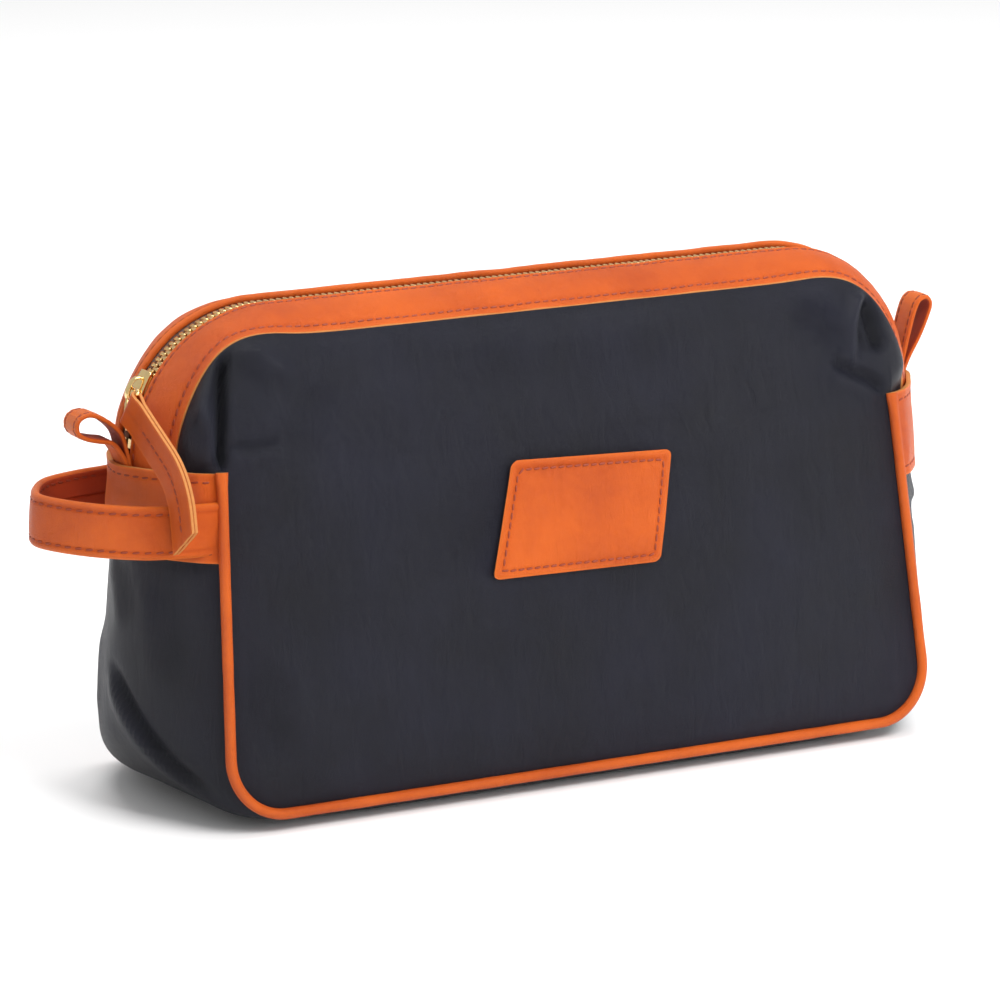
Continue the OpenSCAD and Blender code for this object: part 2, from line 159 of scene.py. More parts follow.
def waves(p, seed, size, count=7):
    """Soft unevenness from a few crossed waves, about -1 to 1."""
    rng = np.random.default_rng(seed)
    total = np.zeros(p.shape[:-1])
    for _ in range(count):
        turn = unit(rng.normal(size=3)) * 2 * math.pi / (size * rng.uniform(0.7, 1.6))
        total += np.sin(p @ turn + rng.uniform(0, 6.3))
    return total / count * 1.6


def fold(at, line, width, depth, ridge, ridge_at, ridge_width, fade):
    """How far a fold along a line moves each point out of its surface. `at` holds flat coordinates."""
    line = np.array(line, float)
    runs = lengths(line)
    nearest = np.full(at.shape[:-1], 1e9)
    share = np.zeros_like(nearest)
    side = np.ones_like(nearest)
    for k in range(len(line) - 1):
        ab = line[k + 1] - line[k]
        ap = at - line[k]
        t = np.clip((ap @ ab) / (ab @ ab), 0, 1)
        away = np.linalg.norm(ap - t[..., None] * ab, axis=-1)
        closer = away < nearest
        nearest = np.where(closer, away, nearest)
        share = np.where(closer, (runs[k] + t * (runs[k + 1] - runs[k])) / runs[-1], share)
        side = np.where(closer, np.sign(ab[0] * ap[..., 1] - ab[1] * ap[..., 0]), side)
    ends = smooth(share / fade) * smooth((1 - share) / fade)
    signed = nearest * side
    return ends * (ridge * bell(signed - ridge_at, ridge_width) - depth * bell(signed, width))


# ---------------------------------------------------------------- materials


class Flow:
    """A shader socket that adds its Math nodes as it is used in sums."""

    def __init__(self, finish, socket):
        self.finish = finish
        self.socket = socket

    def sum(self, operation, *values):
        return self.finish.node("ShaderNodeMath", {"operation": operation}, dict(enumerate(values)))

    def __add__(self, other):
        return self.sum("ADD", self, other)

    def __sub__(self, other):
        return self.sum("SUBTRACT", self, other)

    def __rsub__(self, other):
        return self.sum("SUBTRACT", other, self)

    def __mul__(self, other):
        return self.sum("MULTIPLY", self, other)

    def sine(self):
        return self.sum("SINE", self)

    def held(self):
        return self.finish.node("ShaderNodeClamp", {}, {"Value": self})

    __radd__ = __add__
    __rmul__ = __mul__


class Finish:
    """One procedural material, built up from its nodes."""

    def __init__(self, name):
        self.material = bpy.data.materials.new(name)
        self.material.use_nodes = True
        self.tree = self.material.node_tree
        self.tree.nodes.clear()

    def node(self, kind, settings=None, sockets=None, output=0):
        made = self.tree.nodes.new(kind)
        for key, value in (settings or {}).items():
            if key == "stops":
                for element, (place, shade) in zip(made.color_ramp.elements, value):
                    element.position = place
                    element.color = (shade, shade, shade, 1)
            else:
                setattr(made, key, value)
        for key, value in (sockets or {}).items():
            if isinstance(value, Flow):
                self.tree.links.new(value.socket, made.inputs[key])
            else:
                made.inputs[key].default_value = value
        return Flow(self, made.outputs[output]) if len(made.outputs) else None

    def place(self, scale=(1, 1, 1), turn=(0, 0, 0)):
        spot = self.node("ShaderNodeTexCoord", output="Object")
        return self.node("ShaderNodeMapping", {}, {"Vector": spot, "Scale": scale, "Rotation": turn})

    def noise(self, scale, detail=2.0, rough=0.5, at=None, distortion=0.0):
        sockets = {"Scale": scale, "Detail": detail, "Roughness": rough, "Distortion": distortion}
        return self.node("ShaderNodeTexNoise", {}, {"Vector": at or self.place(), **sockets})

    def cells(self, scale, feature, at=None):
        sockets = {"Vector": at or self.place(), "Scale": scale}
        return self.node("ShaderNodeTexVoronoi", {"feature": feature}, sockets)

    def ramp(self, factor, *stops):
        return self.node("ShaderNodeValToRGB", {"stops": stops}, {"Fac": factor})

    def blend(self, factor, first, second):
        sockets = {0: factor, 6: colour(first), 7: colour(second)}
        return self.node("ShaderNodeMix", {"data_type": "RGBA"}, sockets, output=2)

    def attribute(self, name):
        return self.node("ShaderNodeAttribute", {"attribute_name": name}, output="Fac")

    def bump(self, height, distance, strength=1.0, under=None):
        sockets = {"Height": height, "Distance": distance, "Strength": strength}
        if under is not None:
            sockets["Normal"] = under
        return self.node("ShaderNodeBump", {}, sockets)

    def close(self, sockets):
        shader = self.node("ShaderNodeBsdfPrincipled", {}, {k: colour(v) for k, v in sockets.items()})
        self.node("ShaderNodeOutputMaterial", {}, {"Surface": shader})
        return self.material


def colour(value):
    return (*value, 1.0) if isinstance(value, tuple) and len(value) == 3 else value


def leather(name, base, light, dark, rough, grain, gloss):
    """Soft full-grain leather: pebbled grain, fine wrinkles, uneven dye, paler rubbed edges, painted
    highlights on ridges and rolled edges, and painted shade in folds and grooves.
    """
    f = Finish(name)
    cloudy = f.noise(24, 3, 0.55)
    fine = f.noise(420, 3, 0.6)
    pores = f.cells(grain, "SMOOTH_F1")
    pebble = f.cells(grain * 0.55, "DISTANCE_TO_EDGE", f.node(
        "ShaderNodeVectorMath", {"operation": "ADD"},
        {0: f.place(), 1: f.node("ShaderNodeTexNoise", {}, {"Vector": f.place(), "Scale": 260.0}, output=1)},
    ))
    strain = f.noise(150, 4, 0.6, f.place((1.0, 1.0, 0.35), (0.2, 0.4, 0.3)), 0.6)
    wear = f.attribute("wear")
    tone = f.blend(f.ramp(cloudy, (0.32, 0.0), (0.7, 1.0)), dark, base)
    tone = f.blend((fine * 0.35).held(), tone, light)
    # Rubbed edges and painted highlights: lightens toward the light tone.
    tone = f.blend((wear * 0.55).held(), tone, light)
    # Painted shade: darkens the fold hollows and stitch grooves marked on each piece.
    tone = f.blend((f.attribute("crease") * 0.75).held(), tone, dark)
    height = pores * 0.5 + f.ramp(pebble, (0.0, 0.0), (0.12, 1.0)) * 0.45 + fine * 0.35
    normal = f.bump(height, 0.00022, 0.9)
    normal = f.bump(strain, 0.0011, 0.6, normal)
    shine = rough + (cloudy - 0.5) * 0.16 + (fine - 0.5) * 0.14 - wear * 0.08
    return f.close({
        "Base Color": tone, "Roughness": shine.held(), "Normal": normal,
        "Specular IOR Level": gloss,
    })


def raw_edge():
    f = Finish("raw_leather_edge")
    fibres = f.noise(900, 4, 0.7)
    tone = f.blend(fibres, (0.62, 0.25, 0.055), (0.36, 0.11, 0.02))
    return f.close({"Base Color": tone, "Roughness": 0.75, "Normal": f.bump(fibres, 0.0002, 0.6)})


def brass(name, base, rough):
    f = Finish(name)
    hair = f.noise(1500, 2, 0.5, f.place((1, 1, 0.15)))
    tarnish = f.noise(160, 3, 0.6)
    tone = f.blend(f.ramp(tarnish, (0.45, 0.0), (0.8, 1.0)), base, tuple(c * 0.72 for c in base))
    shine = (rough + (tarnish - 0.5) * 0.18 + (hair - 0.5) * 0.1).held()
    normal = f.bump(hair, 0.00003, 0.4)
    return f.close({"Base Color": tone, "Metallic": 1.0, "Roughness": shine, "Normal": normal})


def woven(name, warp, weft, threads, rough=0.85):
    """Plain weave on the piece's own UV map, in metres."""
    f = Finish(name)
    across = f.node("ShaderNodeSeparateXYZ", {}, {0: f.node("ShaderNodeUVMap", {"uv_map": "UVMap"})})
    along = Flow(f, across.socket.node.outputs[1])
    turns = 2 * math.pi * threads
    weave = (across * turns).sine() * (along * turns).sine()
    tone = f.blend((weave * 0.5 + 0.5).held(), warp, weft)
    tone = f.blend((f.noise(60, 3) * 0.5).held(), tone, tuple(c * 0.6 for c in warp))
    height = weave * 0.5 + f.noise(2500, 2) * 0.4
    normal = f.bump(height, 0.00015, 0.8)
    return f.close({"Base Color": tone, "Roughness": rough, "Normal": normal, "Sheen Weight": 0.25})


def plain_fibre(name, base, scale, rough=0.85, stretch=(1, 1, 1)):
    f = Finish(name)
    fibres = f.noise(scale, 4, 0.65, f.place(stretch))
    tone = f.blend(fibres, tuple(c * 0.6 for c in base), base)
    return f.close({"Base Color": tone, "Roughness": rough, "Normal": f.bump(fibres, 0.0002, 0.6)})


NAVY = leather(
    "navy_leather", (0.0075, 0.0080, 0.0190), (0.020, 0.021, 0.036), (0.0030, 0.0032, 0.0070), 0.42, 950, 0.30
)
ORANGE = leather(
    "orange_leather", (0.80, 0.128, 0.006), (0.92, 0.205, 0.022), (0.50, 0.056, 0.004), 0.42, 1300, 0.32
)
# Painted shade: a darker, rougher copy of the orange leather for the inner faces of the strap and loops,
# which turn away from the light.
SHADED_BACK_ORANGE = leather(
    "orange_leather_back", (0.55, 0.06, 0.009), (0.66, 0.09, 0.015), (0.33, 0.03, 0.005), 0.6, 1100, 0.35
)
RAW = raw_edge()
BRASS = brass("polished_brass", (0.93, 0.68, 0.30), 0.17)
TEETH = brass("zip_tooth_brass", (0.86, 0.60, 0.27), 0.26)
TAPE = woven("zip_tape_weave", (0.20, 0.075, 0.025), (0.11, 0.038, 0.014), 1400)
CLOTH = woven("lining_weave", (0.42, 0.34, 0.23), (0.34, 0.27, 0.18), 900)
# Painted shade: the thread is coloured a dark brown-orange so the stitches also stand in for their shadowed
# holes.
HOLE_SHADE_THREAD = plain_fibre("stitching_thread", (0.34, 0.045, 0.010), 2600, 0.6, (1, 1, 0.2))
BOARD = plain_fibre("grey_board", (0.17, 0.12, 0.08), 600)
CORD = plain_fibre("cotton_cord", (0.62, 0.56, 0.45), 1500, 0.9, (0.2, 1, 1))


# ---------------------------------------------------------------- meshes


def make_object(name, points, faces, materials, kinds=None, uv=None, floats=None):
    """A smooth-shaded object from points in millimetres."""
    mesh = bpy.data.meshes.new(name)
    points = np.asarray(points, float).reshape(-1, 3)
    mesh.from_pydata((points * MM).tolist(), [], [list(map(int, f)) for f in faces])
    for m in materials:
        mesh.materials.append(m)
    if kinds is not None:
        mesh.polygons.foreach_set("material_index", np.asarray(kinds, np.int32))
    mesh.polygons.foreach_set("use_smooth", np.ones(len(mesh.polygons), bool))
    if uv is not None:
        layer = mesh.uv_layers.new(name="UVMap")
        corners = np.zeros(len(mesh.loops), np.int32)
        mesh.loops.foreach_get("vertex_index", corners)
        layer.data.foreach_set("uv", (np.asarray(uv, float)[corners] * MM).ravel())
    for key, values in (floats or {}).items():
        marks = mesh.attributes.new(key, "FLOAT", "POINT")
        marks.data.foreach_set("value", np.asarray(values, np.float32).ravel())
    obj = bpy.data.objects.new(name, mesh)
    bpy.context.scene.collection.objects.link(obj)
    return obj


def settle(obj, sharp=42.0):
    """Applies the modifiers, so the piece is a plain mesh."""
    bpy.context.view_layer.update()
    graph = bpy.context.evaluated_depsgraph_get()
    mesh = bpy.data.meshes.new_from_object(obj.evaluated_get(graph), depsgraph=graph)
    mesh.name = obj.name
    obj.modifiers.clear()
    old = obj.data
    obj.data = mesh
    bpy.data.meshes.remove(old)
    mesh.set_sharp_from_angle(angle=math.radians(sharp))
    return obj


def grid_faces(rows, cols, keep=None):
    r, c = np.meshgrid(np.arange(rows - 1), np.arange(cols - 1), indexing="ij")
    if keep is not None:
        r, c = r[keep], c[keep]
    a = (r * cols + c).ravel()
    return np.stack([a, a + 1, a + cols + 1, a + cols], 1)


def grid_normals(grid):
    """Unit normals, for a grid whose rows cross its columns leftward to outward."""
    down = np.gradient(grid, axis=0)
    along = np.gradient(grid, axis=1)
    return unit(np.cross(down, along))


def grid_uv(grid):
    """Lengths along the middle row and column, so a weave keeps its size."""
    rows, cols = grid.shape[:2]
    u = lengths(grid[rows // 2])
    v = lengths(grid[:, cols // 2])
    return np.stack(np.broadcast_arrays(u[None, :], v[:, None]), -1).reshape(-1, 2)


def ring_faces(rings, count, closed=False):
    """Faces between rings of points, with a cap at each end unless the rings close on themselves."""
    faces = []
    for r in range(rings if closed else rings - 1):
        nxt = (r + 1) % rings
        for c in range(count):
            d = (c + 1) % count
            faces.append((r * count + c, r * count + d, nxt * count + d, nxt * count + c))
    if not closed:
        faces.append(tuple(range(count))[::-1])
        faces.append(tuple((rings - 1) * count + c for c in range(count)))
    return faces


def layer(name, grid, facing, thick, materials, keep=None, floats=None, bevel=0.0):
    """A leather or cloth layer: its outer face is the grid, and its cut edge takes the second material."""
    faces = grid_faces(*grid.shape[:2], keep)
    if np.sum(grid_normals(grid) * facing) > 0:
        faces = faces[:, ::-1]
    obj = make_object(name, grid, faces, materials, uv=grid_uv(grid), floats=floats)
    wall = obj.modifiers.new("wall", "SOLIDIFY")
    wall.thickness = thick * MM
    wall.offset = -1
    wall.use_even_offset = False
    wall.material_offset_rim = 1 if len(materials) > 1 else 0
    if bevel:
        soft = obj.modifiers.new("soft", "BEVEL")
        soft.width = bevel * MM
        soft.segments = 2
        soft.limit_method = "ANGLE"
        soft.angle_limit = math.radians(55)
        soft.use_clamp_overlap = True
    return settle(obj)


def sweep(name, path, side, up, sections, materials, kinds=None, floats=None, closed=False, warp=None):
    """Carries a closed outline along a path. Each outline point is (to the side, up)."""
    path, side, up = (np.asarray(v, float) for v in (path, side, up))
    sections = np.asarray(sections, float)
    if sections.ndim == 2:
        sections = np.broadcast_to(sections, (len(path), *sections.shape))
    rings, count = sections.shape[:2]
    points = path[:, None] + side[:, None] * sections[..., :1] + up[:, None] * sections[..., 1:2]
    if warp:
        points = warp(points)
    turned = np.cross(side[0], up[0]) @ (path[1] - path[0]) > 0
    faces = ring_faces(rings, count, closed)
    slots = list(kinds if kinds is not None else [0] * count) * (rings if closed else rings - 1)
    if not closed:
        slots += [len(materials) - 1] * 2
    area = sections[0]
    wound = np.sum(area[:, 0] * np.roll(area[:, 1], -1) - np.roll(area[:, 0], -1) * area[:, 1])
    if (wound > 0) != turned:
        faces = [f[::-1] for f in faces]
    runs = lengths(path)
    around = lengths(np.vstack([sections[0], sections[0][:1]]))[:-1]
    uv = np.stack(np.broadcast_arrays(around[None, :], runs[:, None]), -1).reshape(-1, 2)
    obj = make_object(name, points, faces, materials, slots, uv, floats)
    obj.data.set_sharp_from_angle(angle=math.radians(42))
    return obj


def curve_through(points, count):
    """A smooth line through the points (uniform Catmull-Rom), evenly spaced."""
    p = np.array(points, float)
    p = np.vstack([2 * p[0] - p[1], p, 2 * p[-1] - p[-2]])
    made = []
    for k in range(1, len(p) - 2):
        t = np.linspace(0, 1, 24, endpoint=False)[:, None]
        a, b, c, d = p[k - 1], p[k], p[k + 1], p[k + 2]
        square, cube = 2 * a - 5 * b + 4 * c - d, 3 * b - a - 3 * c + d
        made.append(0.5 * (2 * b + (c - a) * t + square * t**2 + cube * t**3))
    made = np.vstack([*made, p[-2][None]])
    return resample(made, count)


def at_lengths(where, runs, line):
    """The values of a line at some lengths along it."""
    return np.stack([np.interp(where, runs, column) for column in line.T], 1)


def resample(line, count):
    runs = lengths(line)
    return at_lengths(np.linspace(0, runs[-1], count), runs, line)


def mirrored(half):
    """A line of (x, z) pairs and its mirror image, which share their last point."""
    return np.vstack([half, (half[:-1] * np.array([-1, 1]))[::-1]])


def tangents(path):
    return unit(np.gradient(path, axis=0))


def joined(name, objs):
    """Several plain meshes as one piece."""
    bpy.ops.object.select_all(action="DESELECT")
    for o in objs:
        o.select_set(True)
    bpy.context.view_layer.objects.active = objs[0]
    bpy.ops.object.join()
    objs[0].name = name
    objs[0].data.name = name
    return objs[0]


# ---------------------------------------------------------------- repeats: stitches and teeth


def repeat_tree():
    """Sets a small shape on every point, its length along the path and its top outward."""
    tree = bpy.data.node_groups.new("repeat_along", "GeometryNodeTree")
    inputs = {
        "Points": "Geometry", "Shape": "Object", "Length": "Float", "Width": "Float", "Height": "Float",
        "Unevenness": "Float", "Seed": "Int", "Finish": "Material",
    }
    for label, kind in inputs.items():
        tree.interface.new_socket(label, in_out="INPUT", socket_type="NodeSocket" + kind)
    tree.interface.new_socket("Made", in_out="OUTPUT", socket_type="NodeSocketGeometry")

    def add(kind, sockets, output=0, **settings):
        made = tree.nodes.new(kind)
        for key, value in settings.items():
            setattr(made, key, value)
        for key, value in sockets.items():
            if isinstance(value, bpy.types.NodeSocket):
                tree.links.new(value, made.inputs[key])
            else:
                made.inputs[key].default_value = value
        return made.outputs[output] if len(made.outputs) else None

    start = tree.nodes.new("NodeGroupInput").outputs
    along, up = (
        add("GeometryNodeInputNamedAttribute", {"Name": key}, "Attribute", data_type="FLOAT_VECTOR")
        for key in ("along", "up")
    )
    axes = {"Primary Axis": along, "Secondary Axis": up}
    turn = add("FunctionNodeAxesToRotation", axes, primary_axis="X", secondary_axis="Z")
    size = add("ShaderNodeCombineXYZ", {"X": start["Length"], "Y": start["Width"], "Z": start["Height"]})
    less = add("ShaderNodeMath", {0: 1.0, 1: start["Unevenness"]}, operation="SUBTRACT")
    more = add("ShaderNodeMath", {0: 1.0, 1: start["Unevenness"]}, operation="ADD")
    spread = {"Min": less, "Max": more, "Seed": start["Seed"]}
    uneven = add("FunctionNodeRandomValue", spread, data_type="FLOAT_VECTOR")
    scaled = add("ShaderNodeVectorMath", {0: size, 1: uneven}, operation="MULTIPLY")
    shape = add("GeometryNodeObjectInfo", {"Object": start["Shape"]}, "Geometry")
    put = {"Points": start["Points"], "Instance": shape, "Rotation": turn, "Scale": scaled}
    real = add("GeometryNodeRealizeInstances", {0: add("GeometryNodeInstanceOnPoints", put)})
    painted = add("GeometryNodeSetMaterial", {"Geometry": real, "Material": start["Finish"]})
    add("NodeGroupOutput", {0: painted})
    return tree


REPEAT = repeat_tree()


def prototype(name, points, faces):
    return make_object(name, np.asarray(points, float) / MM, faces, [])


def capsule():
    """One stitch, a metre each way before it is sized: two rounded ends and a soft top."""
    rings = [(-0.5, 0.15), (-0.42, 0.75), (-0.2, 1.0), (0.2, 1.0), (0.42, 0.75), (0.5, 0.15)]
    points, sides = [], 6
    for x, r in rings:
        for k in range(sides):
            a = 2 * math.pi * k / sides
            points.append((x, 0.5 * r * math.cos(a), 0.5 * r * math.sin(a)))
    return prototype("stitch_shape", points, ring_faces(len(rings), sides))


def repeat(name, shape, places, sizes, finish, unevenness=0.0, seed=1):
    """places is rows of (point, along, up) in millimetres."""
    points = np.concatenate([p for p, _, _ in places])
    mesh = bpy.data.meshes.new(name)
    mesh.from_pydata((points * MM).tolist(), [], [])
    for key, column in (("along", 1), ("up", 2)):
        values = np.concatenate([row[column] for row in places]).astype(np.float32)
        mesh.attributes.new(key, "FLOAT_VECTOR", "POINT").data.foreach_set("vector", values.ravel())
    obj = bpy.data.objects.new(name, mesh)
    bpy.context.scene.collection.objects.link(obj)
    sizer = obj.modifiers.new("repeat", "NODES")
    sizer.node_group = REPEAT
    by_name = {s.name: s.identifier for s in REPEAT.interface.items_tree if s.in_out == "INPUT"}
    inputs = {"Shape": shape, "Unevenness": unevenness, "Seed": seed, "Finish": finish}
    inputs.update(zip(("Length", "Width", "Height"), (size * MM for size in sizes)))
    for label, value in inputs.items():
        sizer[by_name[label]] = value
    settle(obj, 50)
    obj.data.polygons.foreach_set("use_smooth", np.ones(len(obj.data.polygons), bool))
    return obj


def stitch_places(path, up, pitch, sink=0.0, slant=0.0, trim=0.0):
    """Evenly spaced stitches on a line of points with their outward directions."""
    path, up = np.asarray(path, float), unit(np.asarray(up, float))
    runs = lengths(path)
    count = max(2, int((runs[-1] - 2 * trim) / pitch))
    even = trim + (np.arange(count) + 0.5) * (runs[-1] - 2 * trim) / count
    at = at_lengths(even, runs, path)
    out = unit(at_lengths(even, runs, up))
    along = unit(at_lengths(even + 0.3, runs, path) - at_lengths(even - 0.3, runs, path))
    across = np.cross(out, along)
    along = unit(along * math.cos(slant) + across * math.sin(slant))
    return at - out * sink, along, out


STITCH = capsule()
stitch_rows = {}


def stitched(body, *row, **facts):
    stitch_rows.setdefault(body, []).append(stitch_places(*row, **facts))


# ---------------------------------------------------------------- front and back panels

EAR_LOW = 111.0
TUCK = ((1.5, 0.5), (3.4, 1.1))


def panel_rows():
    low = CORNER_Z - CORNER_R * np.cos(np.radians(np.arange(0, 90, 5.0)))
    low[0] = SEAM_Z
    straight = np.arange(CORNER_Z, ARC_Z - 0.5, 1.35)
    arc = ARC_Z + EDGE_R * np.sin(np.radians([*np.arange(0, 73, 1.8), 76, 80, 84, 87, 90]))
    return np.concatenate([low, straight, arc])


def central_half(z):
    low = CORNER_X + np.sqrt(np.maximum(0, CORNER_R**2 - np.maximum(0, CORNER_Z - z) ** 2))
    up = np.clip((z - ARC_Z) / EDGE_R, 0, 1)
    top = reach(z) - mix(11.5, 4.0, up**2)
    return np.where(z < CORNER_Z, low, np.where(z <= ARC_Z, seam_x(z), top))


def seam_distance(x, z):
    corner = CORNER_R - np.hypot(np.abs(x) - CORNER_X, z - CORNER_Z)
    side = seam_x(z) - np.abs(x)
    low = np.where(np.abs(x) > CORNER_X, corner, z - SEAM_Z)
    return np.maximum(0, np.where(z > CORNER_Z, side, low))


def swell(x, z):
    up = np.clip((z - SEAM_Z) / RISE / 1.25, 0, 1)
    return SWELL * np.maximum(0, 1 - (x / BAND_HALF) ** 2) * np.sin(math.pi * up)


def front_face(x, z):
    """Depth of the panel's outer face in front of the bag's middle, before its folds."""
    wide = reach(z)
    t = np.clip((np.abs(x) - (wide - WRAP)) / WRAP, 0, 1)
    upper = mix(STRIP_OUT + 0.5, half_depth(z), np.sqrt(1 - t * t))
    return np.where(z <= ARC_Z, half_depth(z), upper) + swell(x, z)


ear_cols = 16
ear_share = np.linspace(0, 1, ear_cols + 1)[1:]


def ear_points(z, side):
    """The part of one row that wraps round to the zip strip, and tucks in behind the side band below."""
    wide = reach(z)[:, None]
    first = (central_half(z)[:, None] - (wide - WRAP)) / WRAP
    first = np.where(z[:, None] < ARC_Z, (BAND_HALF - (wide - WRAP)) / WRAP, first)
    angle = mix(np.arcsin(np.clip(first, 0, 1)), math.pi / 2, ear_share)
    deep = half_depth(np.maximum(z, ARC_Z))[:, None]
    x = wide - WRAP + WRAP * np.sin(angle)
    y = mix(STRIP_OUT + 0.5, deep, np.cos(angle)) + swell(x, z[:, None])
    under_y = mix(BAND_DEEP, STRIP_OUT + 0.5, ear_share)[None, :] + 0 * x
    under_x = BAND_HALF + BULGE * (1 - (under_y / BAND_DEEP) ** 2) - 0.5
    over = smooth((z[:, None] - ARC_Z + 2) / 13)
    x, y = mix(under_x, x, over), mix(under_y, y, over)
    grid = np.stack([x, y, z[:, None] + 0 * x], -1)
    angle = np.arcsin(np.clip((z - ARC_Z) / EDGE_R, 0, 1))
    radial = np.stack([np.cos(angle), 0 * angle, np.sin(angle)], -1)
    for inward, sunk in TUCK:
        edge = grid[:, ear_cols - 1] - radial * sunk - np.array([0, inward, 0])
        grid = np.concatenate([grid, edge[:, None]], 1)
    grid[..., 0] *= side
    return grid


def panel_grid():
    """Outer face of a panel as a grid, front side positive, with the columns from -x to +x."""
    z = panel_rows()
    u = np.linspace(-1, 1, 151)
    u = 1.3 * u - 0.3 * u**3
    half = central_half(z) - np.where(z < ARC_Z, 0.3, 0)
    x = half[:, None] * u
    zz = z[:, None] + 0 * x
    y = front_face(x, zz)
    puff = 1.3 * (1 - np.exp(-seam_distance(x, zz) / 5)) * smooth((ARC_Z + 8 - zz) / 20)
    dip = 0.6 * smooth((ARC_Z - zz) / 4) * bell(seam_distance(x, zz), 2.5)
    middle = np.stack([x, y + puff - dip, zz], -1)
    left = ear_points(z, -1)[:, ::-1]
    right = ear_points(z, 1)
    grid = np.concatenate([left, middle, right], 1)
    last = grid[-1]
    rows = [last - np.array([0, inward, sunk]) for inward, sunk in TUCK]
    return np.concatenate([grid, np.stack(rows)], 0)


def strip_edge_distance(grid):
    """Roughly how far each point is from the zip strip's outer edge."""
    x, z = np.abs(grid[..., 0]), grid[..., 2]
    radius = np.where(x > ARC_X, np.hypot(x - ARC_X, np.maximum(0, z - ARC_Z)), z - ARC_Z)
    return np.hypot(np.maximum(0, EDGE_R - radius), np.maximum(0, grid[..., 1] - STRIP_OUT - 0.5))


FRONT_FOLDS = (
    # line of (x, z), width, depth, ridge height, ridge distance, ridge width, fade
    ([(-121.0, 158.0), (-122.0, 151.0), (-125.0, 141.0), (-127.6, 131.0), (-129.2, 119.0)],
     1.7, 4.6, 0.9, -3.6, 2.6, 0.1),
    ([(-121.5, 159.5), (-127.0, 153.0), (-131.6, 143.0), (-133.2, 131.0)], 2.4, -1.9, -0.9, 4.2, 2.0, 0.22),
    ([(-128.5, 127.5), (-118.0, 126.3), (-106.0, 127.5)], 1.8, 0.9, 0.5, -3.5, 3.0, 0.25),
    ([(-117.0, 157.5), (-108.0, 151.0), (-96.0, 147.0)], 3.5, -1.2, -0.7, -7.0, 4.0, 0.35),
    ([(126.0, 155.0), (118.0, 149.5), (114.2, 142.0), (113.0, 134.0), (115.5, 127.5)],
     3.0, -2.6, -0.8, 6.0, 4.0, 0.25),
    ([(124.0, 153.5), (123.0, 147.0), (124.6, 140.0), (127.0, 133.0)], 3.0, 4.2, 0.0, 0.0, 3.0, 0.25),
    ([(104.0, 133.0), (111.0, 130.0), (119.0, 126.0), (127.5, 120.0)], 2.2, 1.9, 0.8, -4.5, 3.0, 0.22),
    ([(120.0, 150.0), (118.0, 142.0), (119.0, 134.0)], 1.6, 1.5, 0.0, 0.0, 2.0, 0.3),
    ([(92.0, 152.0), (103.0, 146.0), (109.0, 137.0)], 4.0, 1.0, 0.5, 6.0, 5.0, 0.3),
    ([(-104.0, 120.0), (-96.0, 134.0), (-90.0, 147.0)], 7.0, 0.9, 0.6, 11.0, 8.0, 0.3),
    ([(-60.0, 154.0), (0.0, 151.0), (60.0, 153.0)], 6.0, -0.7, -0.5, -11.0, 7.0, 0.3),
    ([(-118.0, 60.0), (-122.0, 40.0), (-113.0, 22.0)], 8.0, 0.8, 0.6, 12.0, 8.0, 0.3),
)
BACK_FOLDS = (
    ([(-120.0, 157.0), (-122.0, 149.0), (-125.6, 139.0), (-128.6, 122.0)], 2.0, 3.8, 0.9, -4.0, 3.0, 0.12),
    ([(119.0, 157.0), (123.0, 148.0), (126.0, 136.0), (128.6, 121.0)], 2.0, 3.6, 0.9, 4.0, 3.0, 0.12),
    ([(100.0, 131.0), (112.0, 129.5), (126.0, 124.0)], 2.4, 1.2, 0.7, -4.5, 3.0, 0.22),
    ([(-108.0, 152.0), (-98.0, 145.0), (-96.0, 134.0)], 4.0, -1.2, -0.7, 7.0, 4.0, 0.3),
    ([(-40.0, 153.0), (20.0, 150.0), (80.0, 153.0)], 6.0, -0.8, -0.5, -11.0, 7.0, 0.3),
)


def finish_piece(obj, body, slot, *nodes):
    """Puts a piece on its body and stands it in for CAD nodes, which it hides. Its slot is not used."""
    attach(obj, body)
    if nodes:
        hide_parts(*nodes)


def folded(at, folds):
    """All of a surface's folds together."""
    return sum(fold(at, *row) for row in folds)


def lining(node, grid, facing):
    """A cloth lining piece, stretched between its seams."""
    obj = layer(node + "_cloth", grid, -facing, 0.6, [CLOTH])
    finish_piece(obj, "bag", "lining_cloth", node)
    tall = max(lengths(column)[-1] for column in grid.swapaxes(0, 1))
    sheet_area(grid)


def sheet_area(grid):
    a, b, c, d = grid[:-1, :-1], grid[:-1, 1:], grid[1:, 1:], grid[1:, :-1]
    return 0.5 * np.linalg.norm(np.cross(c - a, d - b), axis=-1).sum() * MM * MM


